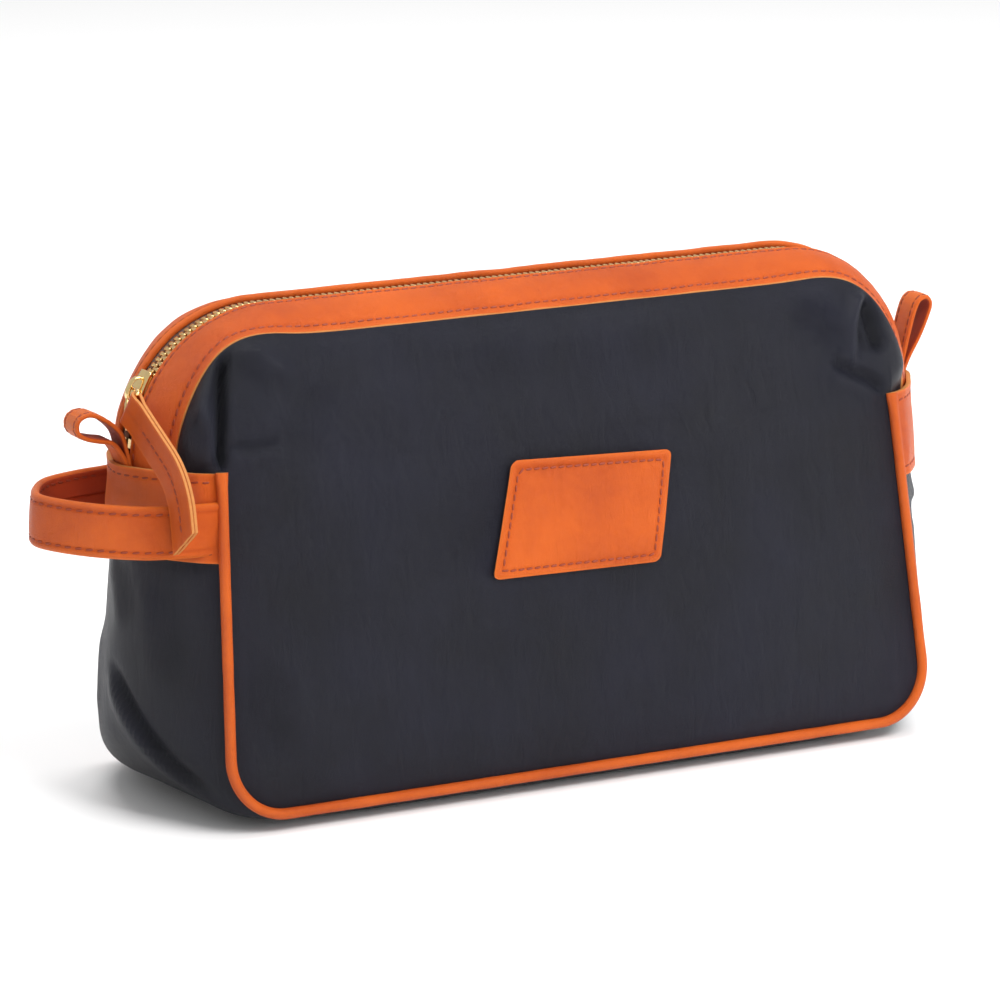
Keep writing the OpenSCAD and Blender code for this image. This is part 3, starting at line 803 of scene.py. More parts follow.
def panel(name, node, lining_node, sign, folds, seed):
    grid = panel_grid()
    z_rows = grid[:, grid.shape[1] // 2, 2]
    flat = grid[..., [0, 2]]
    front = grid * np.array([1, -1, 1])
    normals = grid_normals(front)
    normals *= np.where(np.sum(normals * np.array([0, -1, 0.2]), -1, keepdims=True) < -0.3, -1, 1)
    moved = folded(flat, folds)
    free = smooth(seam_distance(grid[..., 0], grid[..., 2]) / 9)
    free = np.where(grid[..., 2] > ARC_Z - 3, smooth(strip_edge_distance(grid) / 5), free)
    tucked = smooth((grid[..., 2] - EAR_LOW - 7) / 6)
    in_ear = np.abs(grid[..., 0]) > central_half(grid[..., 2]) + 0.2
    free = np.where(in_ear, free * tucked, free)
    soft = 0.55 * waves(front, seed, 70) + 0.22 * waves(front, seed + 1, 26)
    soft = soft + 0.05 * waves(front, seed + 2, 8)
    moved = (moved + soft) * free
    shape = front + normals * moved[..., None]
    shape[..., 1] *= sign
    rows, cols = grid.shape[:2]
    side = np.arange(cols)
    in_side = (side < ear_cols + len(TUCK)) | (side >= cols - ear_cols - len(TUCK))
    low = grid[:, cols // 2, 2] < EAR_LOW
    face_low = low[:-1, None] & (in_side[:-1] & in_side[1:])[None, :]
    # Painted shade where the leather sinks into a fold.
    crease = np.clip(-moved / 3.0, 0, 1)
    # Ridges paler: real rubbing and a painted highlight.
    wear = np.clip(moved / 3.0, 0, 1)
    facing = np.array([0.0, -sign, 0.0])
    marks = {"crease": crease, "wear": wear}
    obj = layer(name, puffed(shape), facing, LEATHER, [NAVY, RAW], ~face_low, marks)
    finish_piece(obj, "bag", "navy_leather", node)
    inside = front + normals * (moved - LEATHER - 0.6 - 0.2 * waves(front, seed + 3, 22))[..., None]
    inside[..., 1] *= sign
    edge = ear_cols + len(TUCK) + 3
    low_row, high_row = np.searchsorted(z_rows, [SEAM_Z + 4, TOP - 14])
    lining(lining_node, puffed(inside[low_row:high_row, edge:-edge]), facing)


panel("front_leather_panel", "front_panel", "lining_front", 1, FRONT_FOLDS, 3)
panel("back_leather_panel", "back_panel", "lining_back", -1, BACK_FOLDS, 11)


# ---------------------------------------------------------------- gusset and linings


def gusset_stations(top, step=1.6):
    """Rows of (seam x, seam z, outward x, outward z, bulge, share of the side's shape), left to right."""
    z = np.linspace(top, CORNER_Z + 0.5, int((top - CORNER_Z) / step))
    side = np.stack([-seam_x(z), z, -1 + 0 * z, 0 * z, BULGE + 0 * z, 1 + 0 * z], 1)
    a = np.radians(np.linspace(90, 0, 22))
    share = np.sin(a) ** 2
    corner = np.stack([
        -(CORNER_X + CORNER_R * np.sin(a)), CORNER_Z - CORNER_R * np.cos(a), -np.sin(a), -np.cos(a),
        SEAM_Z + (BULGE - SEAM_Z) * share, share,
    ], 1)
    x = np.linspace(-CORNER_X, 0, int(CORNER_X / 2.2))[1:]
    base = np.stack([x, SEAM_Z + 0 * x, 0 * x, -1 + 0 * x, SEAM_Z + 0 * x, 0 * x], 1)
    left = np.vstack([side, corner, base])
    right = left[:-1][::-1] * np.array([-1, 1, -1, 1, 1, 1])
    return np.vstack([left, right])


def gusset_grid(stations, edge, cols=61):
    w = np.sin(np.linspace(-math.pi / 2, math.pi / 2, cols)) * 0.45 + np.linspace(-1, 1, cols) * 0.55
    sx, sz, ox, oz, bulge, share = (stations[:, k][:, None] for k in range(6))
    deep = half_depth(sz)
    y = w[None, :] * (deep - edge)
    at = np.abs(y / deep)
    flat = np.where(at <= 0.7, 1, np.sqrt(np.maximum(0, 1 - ((at - 0.7) / 0.3) ** 2)))
    out = bulge * mix(flat, 1 - at**2, share)
    return np.stack([sx + ox * out, y, sz + oz * out], -1)


GUSSET_FOLDS = (
    # line of (y, z) on the left side, width, depth, ridge height, ridge distance, ridge width, fade
    ([(6.0, 52.0), (-12.0, 36.0), (-32.0, 18.0), (-44.0, 10.0)], 2.6, 2.4, 1.4, 5.5, 4.0, 0.22),
    ([(20.0, 62.0), (24.0, 42.0), (22.0, 22.0)], 4.0, -1.3, -0.8, 7.0, 4.0, 0.3),
    ([(-20.0, 86.0), (-25.0, 66.0), (-30.0, 46.0)], 6.0, 0.9, 0.6, 9.0, 6.0, 0.3),
    ([(10.0, 88.0), (2.0, 74.0), (-4.0, 60.0)], 5.0, -0.9, -0.5, -8.0, 5.0, 0.3),
)
RIGHT_FOLDS = (
    ([(-30.0, 76.0), (-14.0, 71.0), (4.0, 74.0)], 3.0, 2.2, 1.0, 5.5, 4.0, 0.25),
    ([(-8.0, 54.0), (-26.0, 30.0), (-40.0, 16.0)], 3.0, 1.8, 1.0, 5.5, 4.0, 0.25),
    ([(20.0, 80.0), (24.0, 50.0), (22.0, 25.0)], 5.0, -1.0, -0.7, 8.0, 5.0, 0.3),
)

stations = gusset_stations(ARC_Z - 1.5)
gusset = gusset_grid(stations, 0.3)
gusset_out = grid_normals(gusset)
sideways = stations[:, 5][:, None] ** 2
side_at = gusset[..., 1:3]
moved = np.zeros(gusset.shape[:2])
for folds, side in ((GUSSET_FOLDS, -1), (RIGHT_FOLDS, 1)):
    this_side = (np.sign(stations[:, 0]) == side)[:, None]
    moved += this_side * sideways * folded(side_at, folds)
centre = np.array([0, 0, 70.0])
outward = np.sign(np.sum(gusset_out * (gusset - centre), -1).mean())
gusset_out *= outward
held = smooth((half_depth(stations[:, 1])[:, None] - np.abs(gusset[..., 1])) / 8)
held *= np.where(gusset[..., 2] > BAND_LOW - 6, smooth((BAND_LOW - gusset[..., 2]) / 6), 1)
soft = 0.5 * waves(gusset, 21, 60) + 0.2 * waves(gusset, 22, 24)
flat_base = smooth((gusset[..., 2] - 1.0) / 9)
moved = (moved + soft) * held * flat_base
across = 1 - (gusset[..., 1] / half_depth(stations[:, 1])[:, None]) ** 2
side_share = stations[:, 5][:, None]
moved -= 4.5 * side_share * across * smooth((34 - gusset[..., 2]) / 26) * smooth((32 - gusset[..., 1]) / 40)
gusset_shape = gusset + gusset_out * moved[..., None]
near_corner = bell(CORNER_X - np.abs(gusset[..., 0]), 16)
corner_share = np.where(side_share > 0, 1 - side_share, near_corner)
gusset_shape[..., 2] += 6.0 * across**0.7 * corner_share * smooth((25 - gusset[..., 2]) / 14)
gusset_shape[..., 2] = np.maximum(gusset_shape[..., 2], 0.05)
# Painted shade in the gusset's fold hollows; its ridges are paler, as rubbing and painted highlight.
piece = layer(
    "leather_gusset", gusset_shape, gusset_out, LEATHER, [NAVY, RAW],
    floats={"crease": np.clip(-moved / 2.5, 0, 1), "wear": np.clip(moved / 3, 0, 1)},
)
finish_piece(piece, "bag", "navy_leather", "gusset")
inset = mix(LEATHER + 3.4, LEATHER + 0.7, stations[:, 5])[:, None, None]
lining("lining_gusset", (gusset_shape - gusset_out * inset)[8:-8, 5:-5], gusset_out[8:-8, 5:-5])


# ---------------------------------------------------------------- side bands


def side_band(name, node, side, loop_y):
    z = np.concatenate([
        np.linspace(BAND_LOW, BAND_LOW + 1.2, 3), np.linspace(BAND_LOW + 2, BAND_TOP - 2, 26),
        np.linspace(BAND_TOP - 1.2, BAND_TOP, 3),
    ])
    w = np.linspace(-1, 1, 91)
    deep = half_depth(z)[:, None]
    y = w[None, :] * (deep - 0.2)
    x = seam_x(z)[:, None] + BULGE * (1 - (y / deep) ** 2)
    base = np.stack([side * x, y, z[:, None] + 0 * y], -1)
    normals = grid_normals(base)
    normals *= np.sign(normals[..., :1]) * side
    from_seam = deep - np.abs(y)
    off = 0.4 + 1.7 * smooth(from_seam / 5)
    zz = base[..., 2]
    for line in (BAND_TOP - 3.0, BAND_LOW + 3.0):
        off = off - 0.32 * bell(zz - line, 0.7)
    between = np.clip((zz - BAND_LOW - 3) / (BAND_TOP - BAND_LOW - 6), 0, 1)
    off = off + 0.35 * np.sin(math.pi * between)
    off = off + (2.7 * bell(y - loop_y, 9.0) + 0.5) * smooth((zz - BAND_TOP + 9) / 9)
    off = off + 0.12 * waves(base, 41 + side, 14)
    off = off + 0.35 * waves(base, 43 + side, 9) * smooth((zz - BAND_TOP + 6) / 6)
    off = np.where(from_seam < 5, np.minimum(off, 0.4 + 1.9 * smooth(from_seam / 5)), off)
    shape = base + normals * off[..., None]
    wear = 0.9 * smooth((zz - BAND_TOP + 1.3) / 1.2) + 0.9 * smooth((BAND_LOW + 1.3 - zz) / 1.2)
    obj = layer(
        name, shape, normals, BAND_T, [ORANGE, RAW], floats={"wear": wear, "crease": 0 * wear}, bevel=0.35
    )
    finish_piece(obj, "bag", "orange_leather", node)
    for line in (BAND_TOP - 3.0, BAND_LOW + 3.0):
        r = int(np.argmin(np.abs(z - line)))
        stitched("bag", shape[r], normals[r], 3.6, sink=-0.05, slant=0.12, trim=3.0)


side_band("left_leather_band", "left_side_band", -1, -4.0)
side_band("right_leather_band", "right_side_band", 1, 0.0)


# ---------------------------------------------------------------- piping


def seam_line():
    z = np.linspace(BAND_TOP + 0.4, CORNER_Z, 60)
    left = np.stack([-seam_x(z), z], 1)
    a = np.radians(np.linspace(90, 0, 30))[1:]
    corner = np.stack([-(CORNER_X + CORNER_R * np.sin(a)), CORNER_Z - CORNER_R * np.cos(a)], 1)
    x = np.linspace(-CORNER_X, 0, 50)[1:]
    base = np.stack([x, SEAM_Z + 0 * x], 1)
    half = np.vstack([left, corner, base])
    return mirrored(half)


def piping(name, node, sign):
    line = seam_line()
    path = np.stack([line[:, 0], -sign * half_depth(line[:, 1]), line[:, 1]], 1)
    path = resample(path, 320)
    out = np.array([0, -sign * math.cos(LEAN), math.sin(LEAN)])
    along = tangents(path)
    side = unit(np.cross(along, out))
    up = unit(np.cross(side, along))
    up *= np.sign(np.sum(up * out, 1, keepdims=True))
    a = np.radians(np.arange(0, 360, 18))
    runs = lengths(path)
    ends = np.minimum(runs, runs[-1] - runs)
    flatten = smooth(1 - ends / 7)
    radius = (PIPING_R + 0.05 * waves(path, 51, 11) + 0.03 * waves(path, 52, 4))[:, None]
    wide = radius * (1 + 0.22 * flatten[:, None])
    high = radius * (1 - 0.32 * flatten[:, None])
    rings = np.stack([wide * np.cos(a), high * np.sin(a) + 0.25], -1)
    # Painted highlight on the piping's outward crown, with some rubbing there.
    wear = 0.35 * np.clip(np.sin(a), 0, 1) ** 4
    obj = sweep(
        name, path, side, up, rings, [ORANGE, RAW],
        floats={"wear": np.tile(wear, len(path)), "crease": np.zeros(len(path) * len(a))},
    )
    finish_piece(obj, "bag", "orange_piping", node)


piping("front_leather_piping", "front_piping", 1)
piping("back_leather_piping", "back_piping", -1)


# ---------------------------------------------------------------- zip strips and tape


def zip_line(below, step=1.5):
    """Points along the zip's top line with their outward directions, from the left end to the right end."""
    low = np.linspace(-below, 0, 4)[:-1]
    a = np.radians(np.linspace(0, 90, 50))
    end = np.stack([-ARC_X - END_R * np.cos(a), ARC_Z + END_R * np.sin(a)], 1)
    end_out = np.stack([-np.cos(a), np.sin(a)], 1)
    tail = np.stack([-ARC_X - END_R + 0 * low, ARC_Z + low], 1)
    x = np.linspace(-ARC_X, 0, int(ARC_X / step))[1:]
    flat = np.stack([x, TOP + 0 * x], 1)
    half = np.vstack([tail, end, flat])
    out = np.vstack([np.tile([-1.0, 0.0], (len(tail), 1)), end_out, np.tile([0.0, 1.0], (len(flat), 1))])
    return [np.stack([p[:, 0], 0 * p[:, 0], p[:, 1]], 1) for p in (mirrored(half), mirrored(out))]


STITCH_IN, STITCH_OUT = 7.5, 19.3
ROLL = 1.15


def strip_top(w):
    puff = 0.4 * np.sin(math.pi * np.clip((w - STITCH_IN) / (STITCH_OUT - STITCH_IN), 0, 1))
    grooves = 0.3 * bell(w - STITCH_IN, 0.55) + 0.3 * bell(w - STITCH_OUT, 0.55)
    return -drop(w) + puff - grooves + 0.25 * bell(w - STRIP_IN - 1.2, 0.9)


def strip_outline():
    """Closed outline of a folded strip, as (away from the zip, up), and which edges are raw."""
    a = np.radians(np.arange(270, 89, -22.5))
    roll = np.stack([STRIP_IN + ROLL + ROLL * np.cos(a), -ROLL + ROLL * np.sin(a)], 1)
    w = np.concatenate([np.arange(STRIP_IN + ROLL + 0.4, STRIP_OUT - 0.4, 0.42), [STRIP_OUT - 0.3]])
    top = np.stack([w, strip_top(w)], 1)
    end = -drop(STRIP_OUT)
    rim = np.array([[STRIP_OUT, end - 0.25], [STRIP_OUT, end - 0.75], [STRIP_OUT - 0.1, end - 1.45]])
    v = np.linspace(STRIP_OUT - 1, STRIP_IN + ROLL + 0.6, 9)
    under = np.stack([v, -drop(v) - mix(2.2, 1.6, (v - STRIP_IN) / (STRIP_OUT - STRIP_IN))], 1)
    outline = np.vstack([roll, top, rim, under])
    raw = np.zeros(len(outline), int)
    raw[len(roll) + len(top) - 1 : len(roll) + len(top) + 1] = 1
    return outline, raw


def zip_strip(name, node, sign):
    path, out = zip_line(5.0)
    side = np.tile([0.0, -sign, 0.0], (len(path), 1))
    outline, raw = strip_outline()
    sections = np.tile(outline, (len(path), 1, 1))
    spots = path[:, None] + side[:, None] * sections[..., :1]
    sections[..., 1] += 0.14 * waves(spots, 61 + sign, 16) + 0.06 * waves(spots, 63 + sign, 6)
    sections[..., 0] += 0.22 * waves(path, 65 + sign, 30)[:, None] * (outline[:, 0] / STRIP_OUT)
    w = np.tile(outline[:, 0], len(path))
    # Rubbing plus a painted highlight along the rolled inner edge and the outer edge.
    wear = np.clip(bell(w - STRIP_IN - 1.0, 0.9) * 0.7 + bell(w - STRIP_OUT, 0.7), 0, 1)
    # Painted shade in the two stitch grooves.
    crease = 0.55 * (bell(w - STITCH_IN, 0.5) + bell(w - STITCH_OUT, 0.5))
    marks = {"wear": wear, "crease": crease}
    obj = sweep(name, path, side, out, sections, [ORANGE, RAW], raw, marks, warp=puffed)
    finish_piece(obj, "bag", "orange_leather", node)
    for w in (STITCH_IN, STITCH_OUT):
        slope = (strip_top(w + 0.9) - strip_top(w - 0.9)) / 1.8
        up = unit(out - side * slope)
        line = path + side * w + out * (strip_top(w) + 0.14 * waves(path + side * w, 61 + sign, 16))[:, None]
        stitched("bag", puffed(line), up, 3.3, sink=-0.12, slant=0.14 * sign, trim=6.0)


def zip_tape(name, node, sign):
    path, out = zip_line(3.0)
    side = np.tile([0.0, -sign, 0.0], (len(path), 1))
    w = np.array([1.5, 2.6, 3.4, 4.4, 6.0, 9.0, 12.5, 16.5])
    high = -2.35 - drop(w) + 0.28 * bell(w - 3.4, 0.6)
    outline = np.vstack([np.stack([w, high], 1), np.stack([w[::-1], high[::-1] - 0.6], 1)])
    obj = sweep(name, path, side, out, outline, [TAPE], warp=puffed)
    finish_piece(obj, "bag", "zip_tape", node)


zip_strip("front_zip_strip", "zip_band_front", 1)
zip_strip("back_zip_strip", "zip_band_back", -1)
zip_tape("front_zip_tape", "zip_tape_front", 1)
zip_tape("back_zip_tape", "zip_tape_back", -1)


# ---------------------------------------------------------------- zip teeth

TOOTH_PITCH = 2.4
TEETH_ANGLE = math.radians(78)
TOOTH_DROP = 1.3
TOOTH_H = 2.6


def tooth_shape():
    """One tooth: a narrow head that locks over the middle, a neck and a wide foot on the tape."""
    plan = [(-0.5, 0.7), (0.5, 0.7), (0.62, 0.2), (0.5, -1.3), (0.82, -1.9), (0.82, -3.0),
            (0.5, -3.3), (-0.5, -3.3), (-0.82, -3.0), (-0.82, -1.9), (-0.5, -1.3), (-0.62, 0.2)]
    plan = np.array(plan)
    middle = plan.mean(0)
    levels = [(1.0, -TOOTH_H), (1.0, -0.45), (0.86, -0.12), (0.5, 0.0)]
    points = []
    for scale, z in levels:
        ring = middle + (plan - middle) * np.array([scale, mix(1, scale, 0.5)])
        points += [(x, -y, z) for x, y in ring]
    faces = [face[::-1] for face in ring_faces(len(levels), len(plan))]
    return prototype("tooth_shape", np.array(points) * MM, faces)


def chain_places(sign, shift):
    """Places of one row of teeth: (point, along, up)."""
    total = 2 * END_R * TEETH_ANGLE + 2 * ARC_X
    from_middle = (np.arange(int(total / TOOTH_PITCH)) + shift) * TOOTH_PITCH - total / 2
    angle = np.maximum(0, np.abs(from_middle) - ARC_X) / END_R * np.sign(from_middle)
    up = np.stack([np.sin(angle), 0 * angle, np.cos(angle)], 1)
    along = np.stack([up[:, 2], 0 * angle, -up[:, 0]], 1) * sign
    centre = np.stack([np.clip(from_middle, -ARC_X, ARC_X), 0 * angle, ARC_Z + 0 * angle], 1)
    return [(centre + up * (END_R - TOOTH_DROP), along, up)]


tooth = tooth_shape()
for name, node, sign, shift in (
    ("front_zip_teeth", "zip_teeth_front", 1, 0.0),
    ("back_zip_teeth", "zip_teeth_back", -1, 0.5),
):
    chain = repeat(name, tooth, chain_places(sign, shift), (1 / MM, 1 / MM, 1 / MM), TEETH, 0.03, 7)
    finish_piece(chain, "bag", "zip_brass", node)


# ---------------------------------------------------------------- slider


def on_arc(u, v, h):
    """Point on the slider: u down the zip, v to the front, h above the zip's top line."""
    a = SLIDER_ANGLE + u / END_R
    r = END_R + h
    return np.stack([-ARC_X - r * np.sin(a), -v + 0 * a, ARC_Z + r * np.cos(a)], -1)


def rounded_plate(outline, low, high, soft):
    """A plate with softened edges, bent to the zip's curve."""
    outline = np.array(outline, float)
    middle = outline.mean(0)
    span = outline - middle
    rings = []
    for inset, h in ((soft, low), (soft * 0.3, low + soft * 0.3), (0, low + soft),
                     (0, high - soft), (soft * 0.3, high - soft * 0.3), (soft, high)):
        scale = 1 - inset / np.linalg.norm(span, axis=1, keepdims=True)
        rings.append(np.column_stack([middle + span * scale, np.full(len(outline), h)]))
    rings.append(np.column_stack([middle + span * 0.5, np.full(len(outline), high + 0.05)]))
    points = np.vstack(rings)
    faces = ring_faces(len(rings), len(outline))
    return make_object("plate", on_arc(points[:, 0], points[:, 1], points[:, 2]), faces, [BRASS])


def slider_outline():
    """Rounded outline: the wide shoulders are at the lower end, where the two rows come apart."""
    corners = [(-7.2, -3.5), (-5.0, -3.8), (1.0, -4.4), (5.2, -4.45), (7.0, -3.2), (7.35, 0.0),
               (7.0, 3.2), (5.2, 4.45), (1.0, 4.4), (-5.0, 3.8), (-7.2, 3.5), (-7.35, 0.0)]
    return curve_through([*corners, corners[0]], 49)[:-1]


plates = [
    rounded_plate(slider_outline(), -1.0, 0.55, 0.45),
    rounded_plate(slider_outline(), -5.3, -4.15, 0.35),
]
for side in (-1, 1):
    rail = [(-6.0, side * 3.3), (-6.0, side * 4.1), (5.8, side * 4.4), (5.8, side * 3.6)]
    plates.append(rounded_plate(resample(np.array([*rail, rail[0]]), 33)[:-1], -1.9, -0.7, 0.2))
post = [(4.4, -0.45), (4.4, 0.45), (6.4, 0.45), (6.4, -0.45)]
plates.append(rounded_plate(resample(np.array([*post, post[0]]), 17)[:-1], -4.6, -0.6, 0.1))
arch_u = np.linspace(-1, 1, 29)
arch_h = 0.35 + 2.9 * np.sqrt(np.maximum(0, 1 - np.abs(arch_u) ** 2.6))
arch = np.stack([arch_u * 4.3, arch_h], 1)
arch_path = on_arc(arch[:, 0], 0 * arch[:, 0], arch[:, 1])
arch_side = np.tile([0.0, -1.0, 0.0], (len(arch), 1))
arch_up = unit(np.cross(tangents(arch_path), arch_side))
arch_up *= np.sign(np.sum(arch_up[14] * (arch_path[14] - np.array([-ARC_X, 0, ARC_Z]))))
b = np.radians(np.arange(0, 360, 30))
arch_section = np.stack([1.35 * np.sign(np.cos(b)) * np.abs(np.cos(b)) ** 0.6,
                         0.5 * np.sign(np.sin(b)) * np.abs(np.sin(b)) ** 0.8], 1)
plates.append(sweep("arch", arch_path, arch_side, arch_up, arch_section, [BRASS]))
for plate in plates:
    plate.data.set_sharp_from_angle(angle=math.radians(50))
slider = joined("zip_slider", plates)
finish_piece(slider, "slider", "slider_brass", "slider_body")


# ---------------------------------------------------------------- pull link and tab

PIVOT_R = END_R + 2.1
PIVOT = np.array([-ARC_X - PIVOT_R * math.sin(SLIDER_ANGLE), 0, ARC_Z + PIVOT_R * math.cos(SLIDER_ANGLE)])
BAR = PIVOT + np.array([-4.9, -10.0, -4.6])
TILT = math.radians(55)
TURN = math.radians(8.6)
BAR_WAY = np.array([math.cos(TILT) * math.sin(TURN), -math.cos(TILT) * math.cos(TURN), math.sin(TILT)])


def tube(name, path, radius, material, sides=10, closed=False):
    along = tangents(path) if not closed else unit(np.roll(path, -1, 0) - np.roll(path, 1, 0))
    ref = unit(np.cross(along[0], [0.3, 0.2, 0.9]))
    ups = []
    for t in along:
        ref = unit(ref - t * (ref @ t))
        ups.append(ref)
    up = np.array(ups)
    side = np.cross(up, along)
    a = np.linspace(0, 2 * math.pi, sides, endpoint=False)
    ring = np.stack([radius * np.cos(a), radius * np.sin(a)], 1)
    return sweep(name, path, side, up, ring, [material], closed=closed)


def rounded_loop(corners, radius, steps=6):
    """A closed line with its corners rounded."""
    made = []
    n = len(corners)
    for k in range(n):
        p, a, b = corners[k], corners[k - 1], corners[(k + 1) % n]
        start = p + unit(a - p) * radius
        end = p + unit(b - p) * radius
        for t in np.linspace(0, 1, steps):
            made.append((1 - t) ** 2 * start + 2 * t * (1 - t) * p + t * t * end)
    line = np.array(made)
    return resample(np.vstack([line, line[:1]]), 73)[:-1]


PIN_HALF, BAR_HALF = np.array([0, 2.1, 0]), 8.3 * BAR_WAY
link_corners = [PIVOT - PIN_HALF, PIVOT + PIN_HALF, BAR - BAR_HALF, BAR + BAR_HALF]
link = tube("pull_wire_link", rounded_loop(link_corners, 1.7), 0.68, BRASS, closed=True)
finish_piece(link, "link", "slider_brass", "pull_link")

TAB_W, PLY = 13.0, 1.2
TAB_FIRST, TAB_BEND, TAB_LAST = 24.5, 24.0, 5.0
END_TILT = math.radians(8)


def tab_centre(v):
    """Centre line of the tab in its own plane, and its direction, at a length below the bar."""
    bend_run = TAB_BEND * (TILT - END_TILT)
    a = TILT - np.clip((v - TAB_FIRST) / TAB_BEND, 0, TILT - END_TILT)
    bx = -TAB_FIRST * math.sin(TILT) - TAB_BEND * (np.cos(a) - math.cos(TILT))
    bz = -TAB_FIRST * math.cos(TILT) - TAB_BEND * (math.sin(TILT) - np.sin(a))
    early = np.minimum(v, TAB_FIRST)
    late = np.maximum(0, v - TAB_FIRST - bend_run)
    x = np.where(v < TAB_FIRST, -early * math.sin(TILT), bx - late * math.sin(END_TILT))
    z = np.where(v < TAB_FIRST, -early * math.cos(TILT), bz - late * math.cos(END_TILT))
    return x, z, a


def pull_tab():
    """A strip folded over the wire, its two plies stitched together down the middle."""
    bend_run = TAB_BEND * (TILT - END_TILT)
    length = TAB_FIRST + bend_run + TAB_LAST
    w = np.concatenate([[-TAB_W / 2, -TAB_W / 2 + 0.3], np.linspace(-TAB_W / 2 + 1, TAB_W / 2 - 1, 15),
                        [TAB_W / 2 - 0.3, TAB_W / 2]])
    stretch = length + 4.2 + (w / TAB_W) * 8.0
    down = np.linspace(0, 1, 60)[::-1]
    turn = np.linspace(-math.pi / 2, math.pi / 2, 13)
    rows = []
    round_r = 0.75 + PLY
    for side, order in ((1, down), (-1, down[::-1])):
        for share in order:
            v = share * stretch
            lift = mix(PLY + 0.06, round_r, 1 - smooth(v / 5.0))
            lift = lift + 0.25 * np.cos(math.pi * w / TAB_W) * smooth(v / 8)
            lift = lift - 0.28 * bell(w, 0.8) * smooth(v / 8 - 0.5)
            rows.append((v, side * lift, None))
        if side == 1:
            for t in -turn[1:-1]:
                rows.append((-round_r * np.cos(t) + 0 * w, round_r * np.sin(t) + 0 * w, t))
    grid = []
    for v, lift, t in rows:
        x, z, a = tab_centre(np.maximum(v, 0))
        if t is not None:
            x = x - v * math.sin(TILT)
            z = z - v * math.cos(TILT)
        flat_y = x + w * np.cos(a)
        flat_z = z - w * np.sin(a)
        grid.append(np.stack([lift, flat_y, flat_z], -1))
    grid = np.array(grid)
    grid[..., 0] += 0.22 * waves(grid, 71, 22)
    c, s = math.cos(TURN), math.sin(TURN)
    x, y, z = grid[..., 0], grid[..., 1], grid[..., 2]
    shape = np.stack([x * c - y * s, x * s + y * c, z], -1) + BAR
    wear = np.tile(np.maximum(bell(w - TAB_W / 2, 0.7), bell(w + TAB_W / 2, 0.7)), (len(rows), 1))
    # Painted shade in the tab's middle groove.
    crease = np.tile(0.4 * bell(w, 0.8), (len(rows), 1))
    lifts = np.array([np.sign(np.mean(row[1])) if row[2] is None else 0 for row in rows])
    facing = lifts[:, None, None] * np.array([c, s, 0.0])
    obj = layer("leather_pull_tab", shape, facing, PLY, [ORANGE, RAW],
                floats={"wear": wear, "crease": crease}, bevel=0.25)
    finish_piece(obj, "tab", "orange_leather", "pull_tab")
    mid = len(w) // 2
    for part, facing in ((shape[3:50, mid], 1), (shape[-50:-3, mid], -1)):
        up = np.tile([facing * c, facing * s, 0.0], (len(part), 1))
        stitched("tab", part, up, 2.9, sink=-0.05, slant=0.1, trim=1.0)


pull_tab()


# ---------------------------------------------------------------- handle

STRAP_W, STRAP_T = 18.0, 2.8


def strap_outline():
    """Strap outline as (up the strap, outward): smooth outer face, and edges folded back to a middle join."""
    half, t = STRAP_W / 2, STRAP_T / 2
    z = np.linspace(-half + 1.2, half - 1.2, 37)
    face = t + 0.35 * np.cos(math.pi * z / STRAP_W) - 0.3 * bell(np.abs(z) - (half - 2.7), 0.5)
    a = np.radians(np.arange(75, -76, -25))
    top = np.stack([half - 1.2 + 1.2 * np.cos(a), (t - 0.1) * np.sin(a)], 1)
    inner = -t - 0.15 * np.cos(math.pi * z / STRAP_W) + 0.25 * bell(np.abs(z) - (half - 2.7), 0.5)
    inner = inner + 0.7 * bell(z, 0.35)
    low = np.stack([-half + 1.2 - 1.2 * np.cos(a), -(t - 0.1) * np.sin(a)], 1)
    outline = np.vstack([np.stack([z, face], 1), top, np.stack([z[::-1], inner[::-1]], 1), low])
    kinds = np.zeros(len(outline), int)
    # The inner face takes the darker copy of the orange leather, as painted shade.
    kinds[len(z) + len(top) - 1 : 2 * len(z) + len(top)] = 1
    return outline, kinds


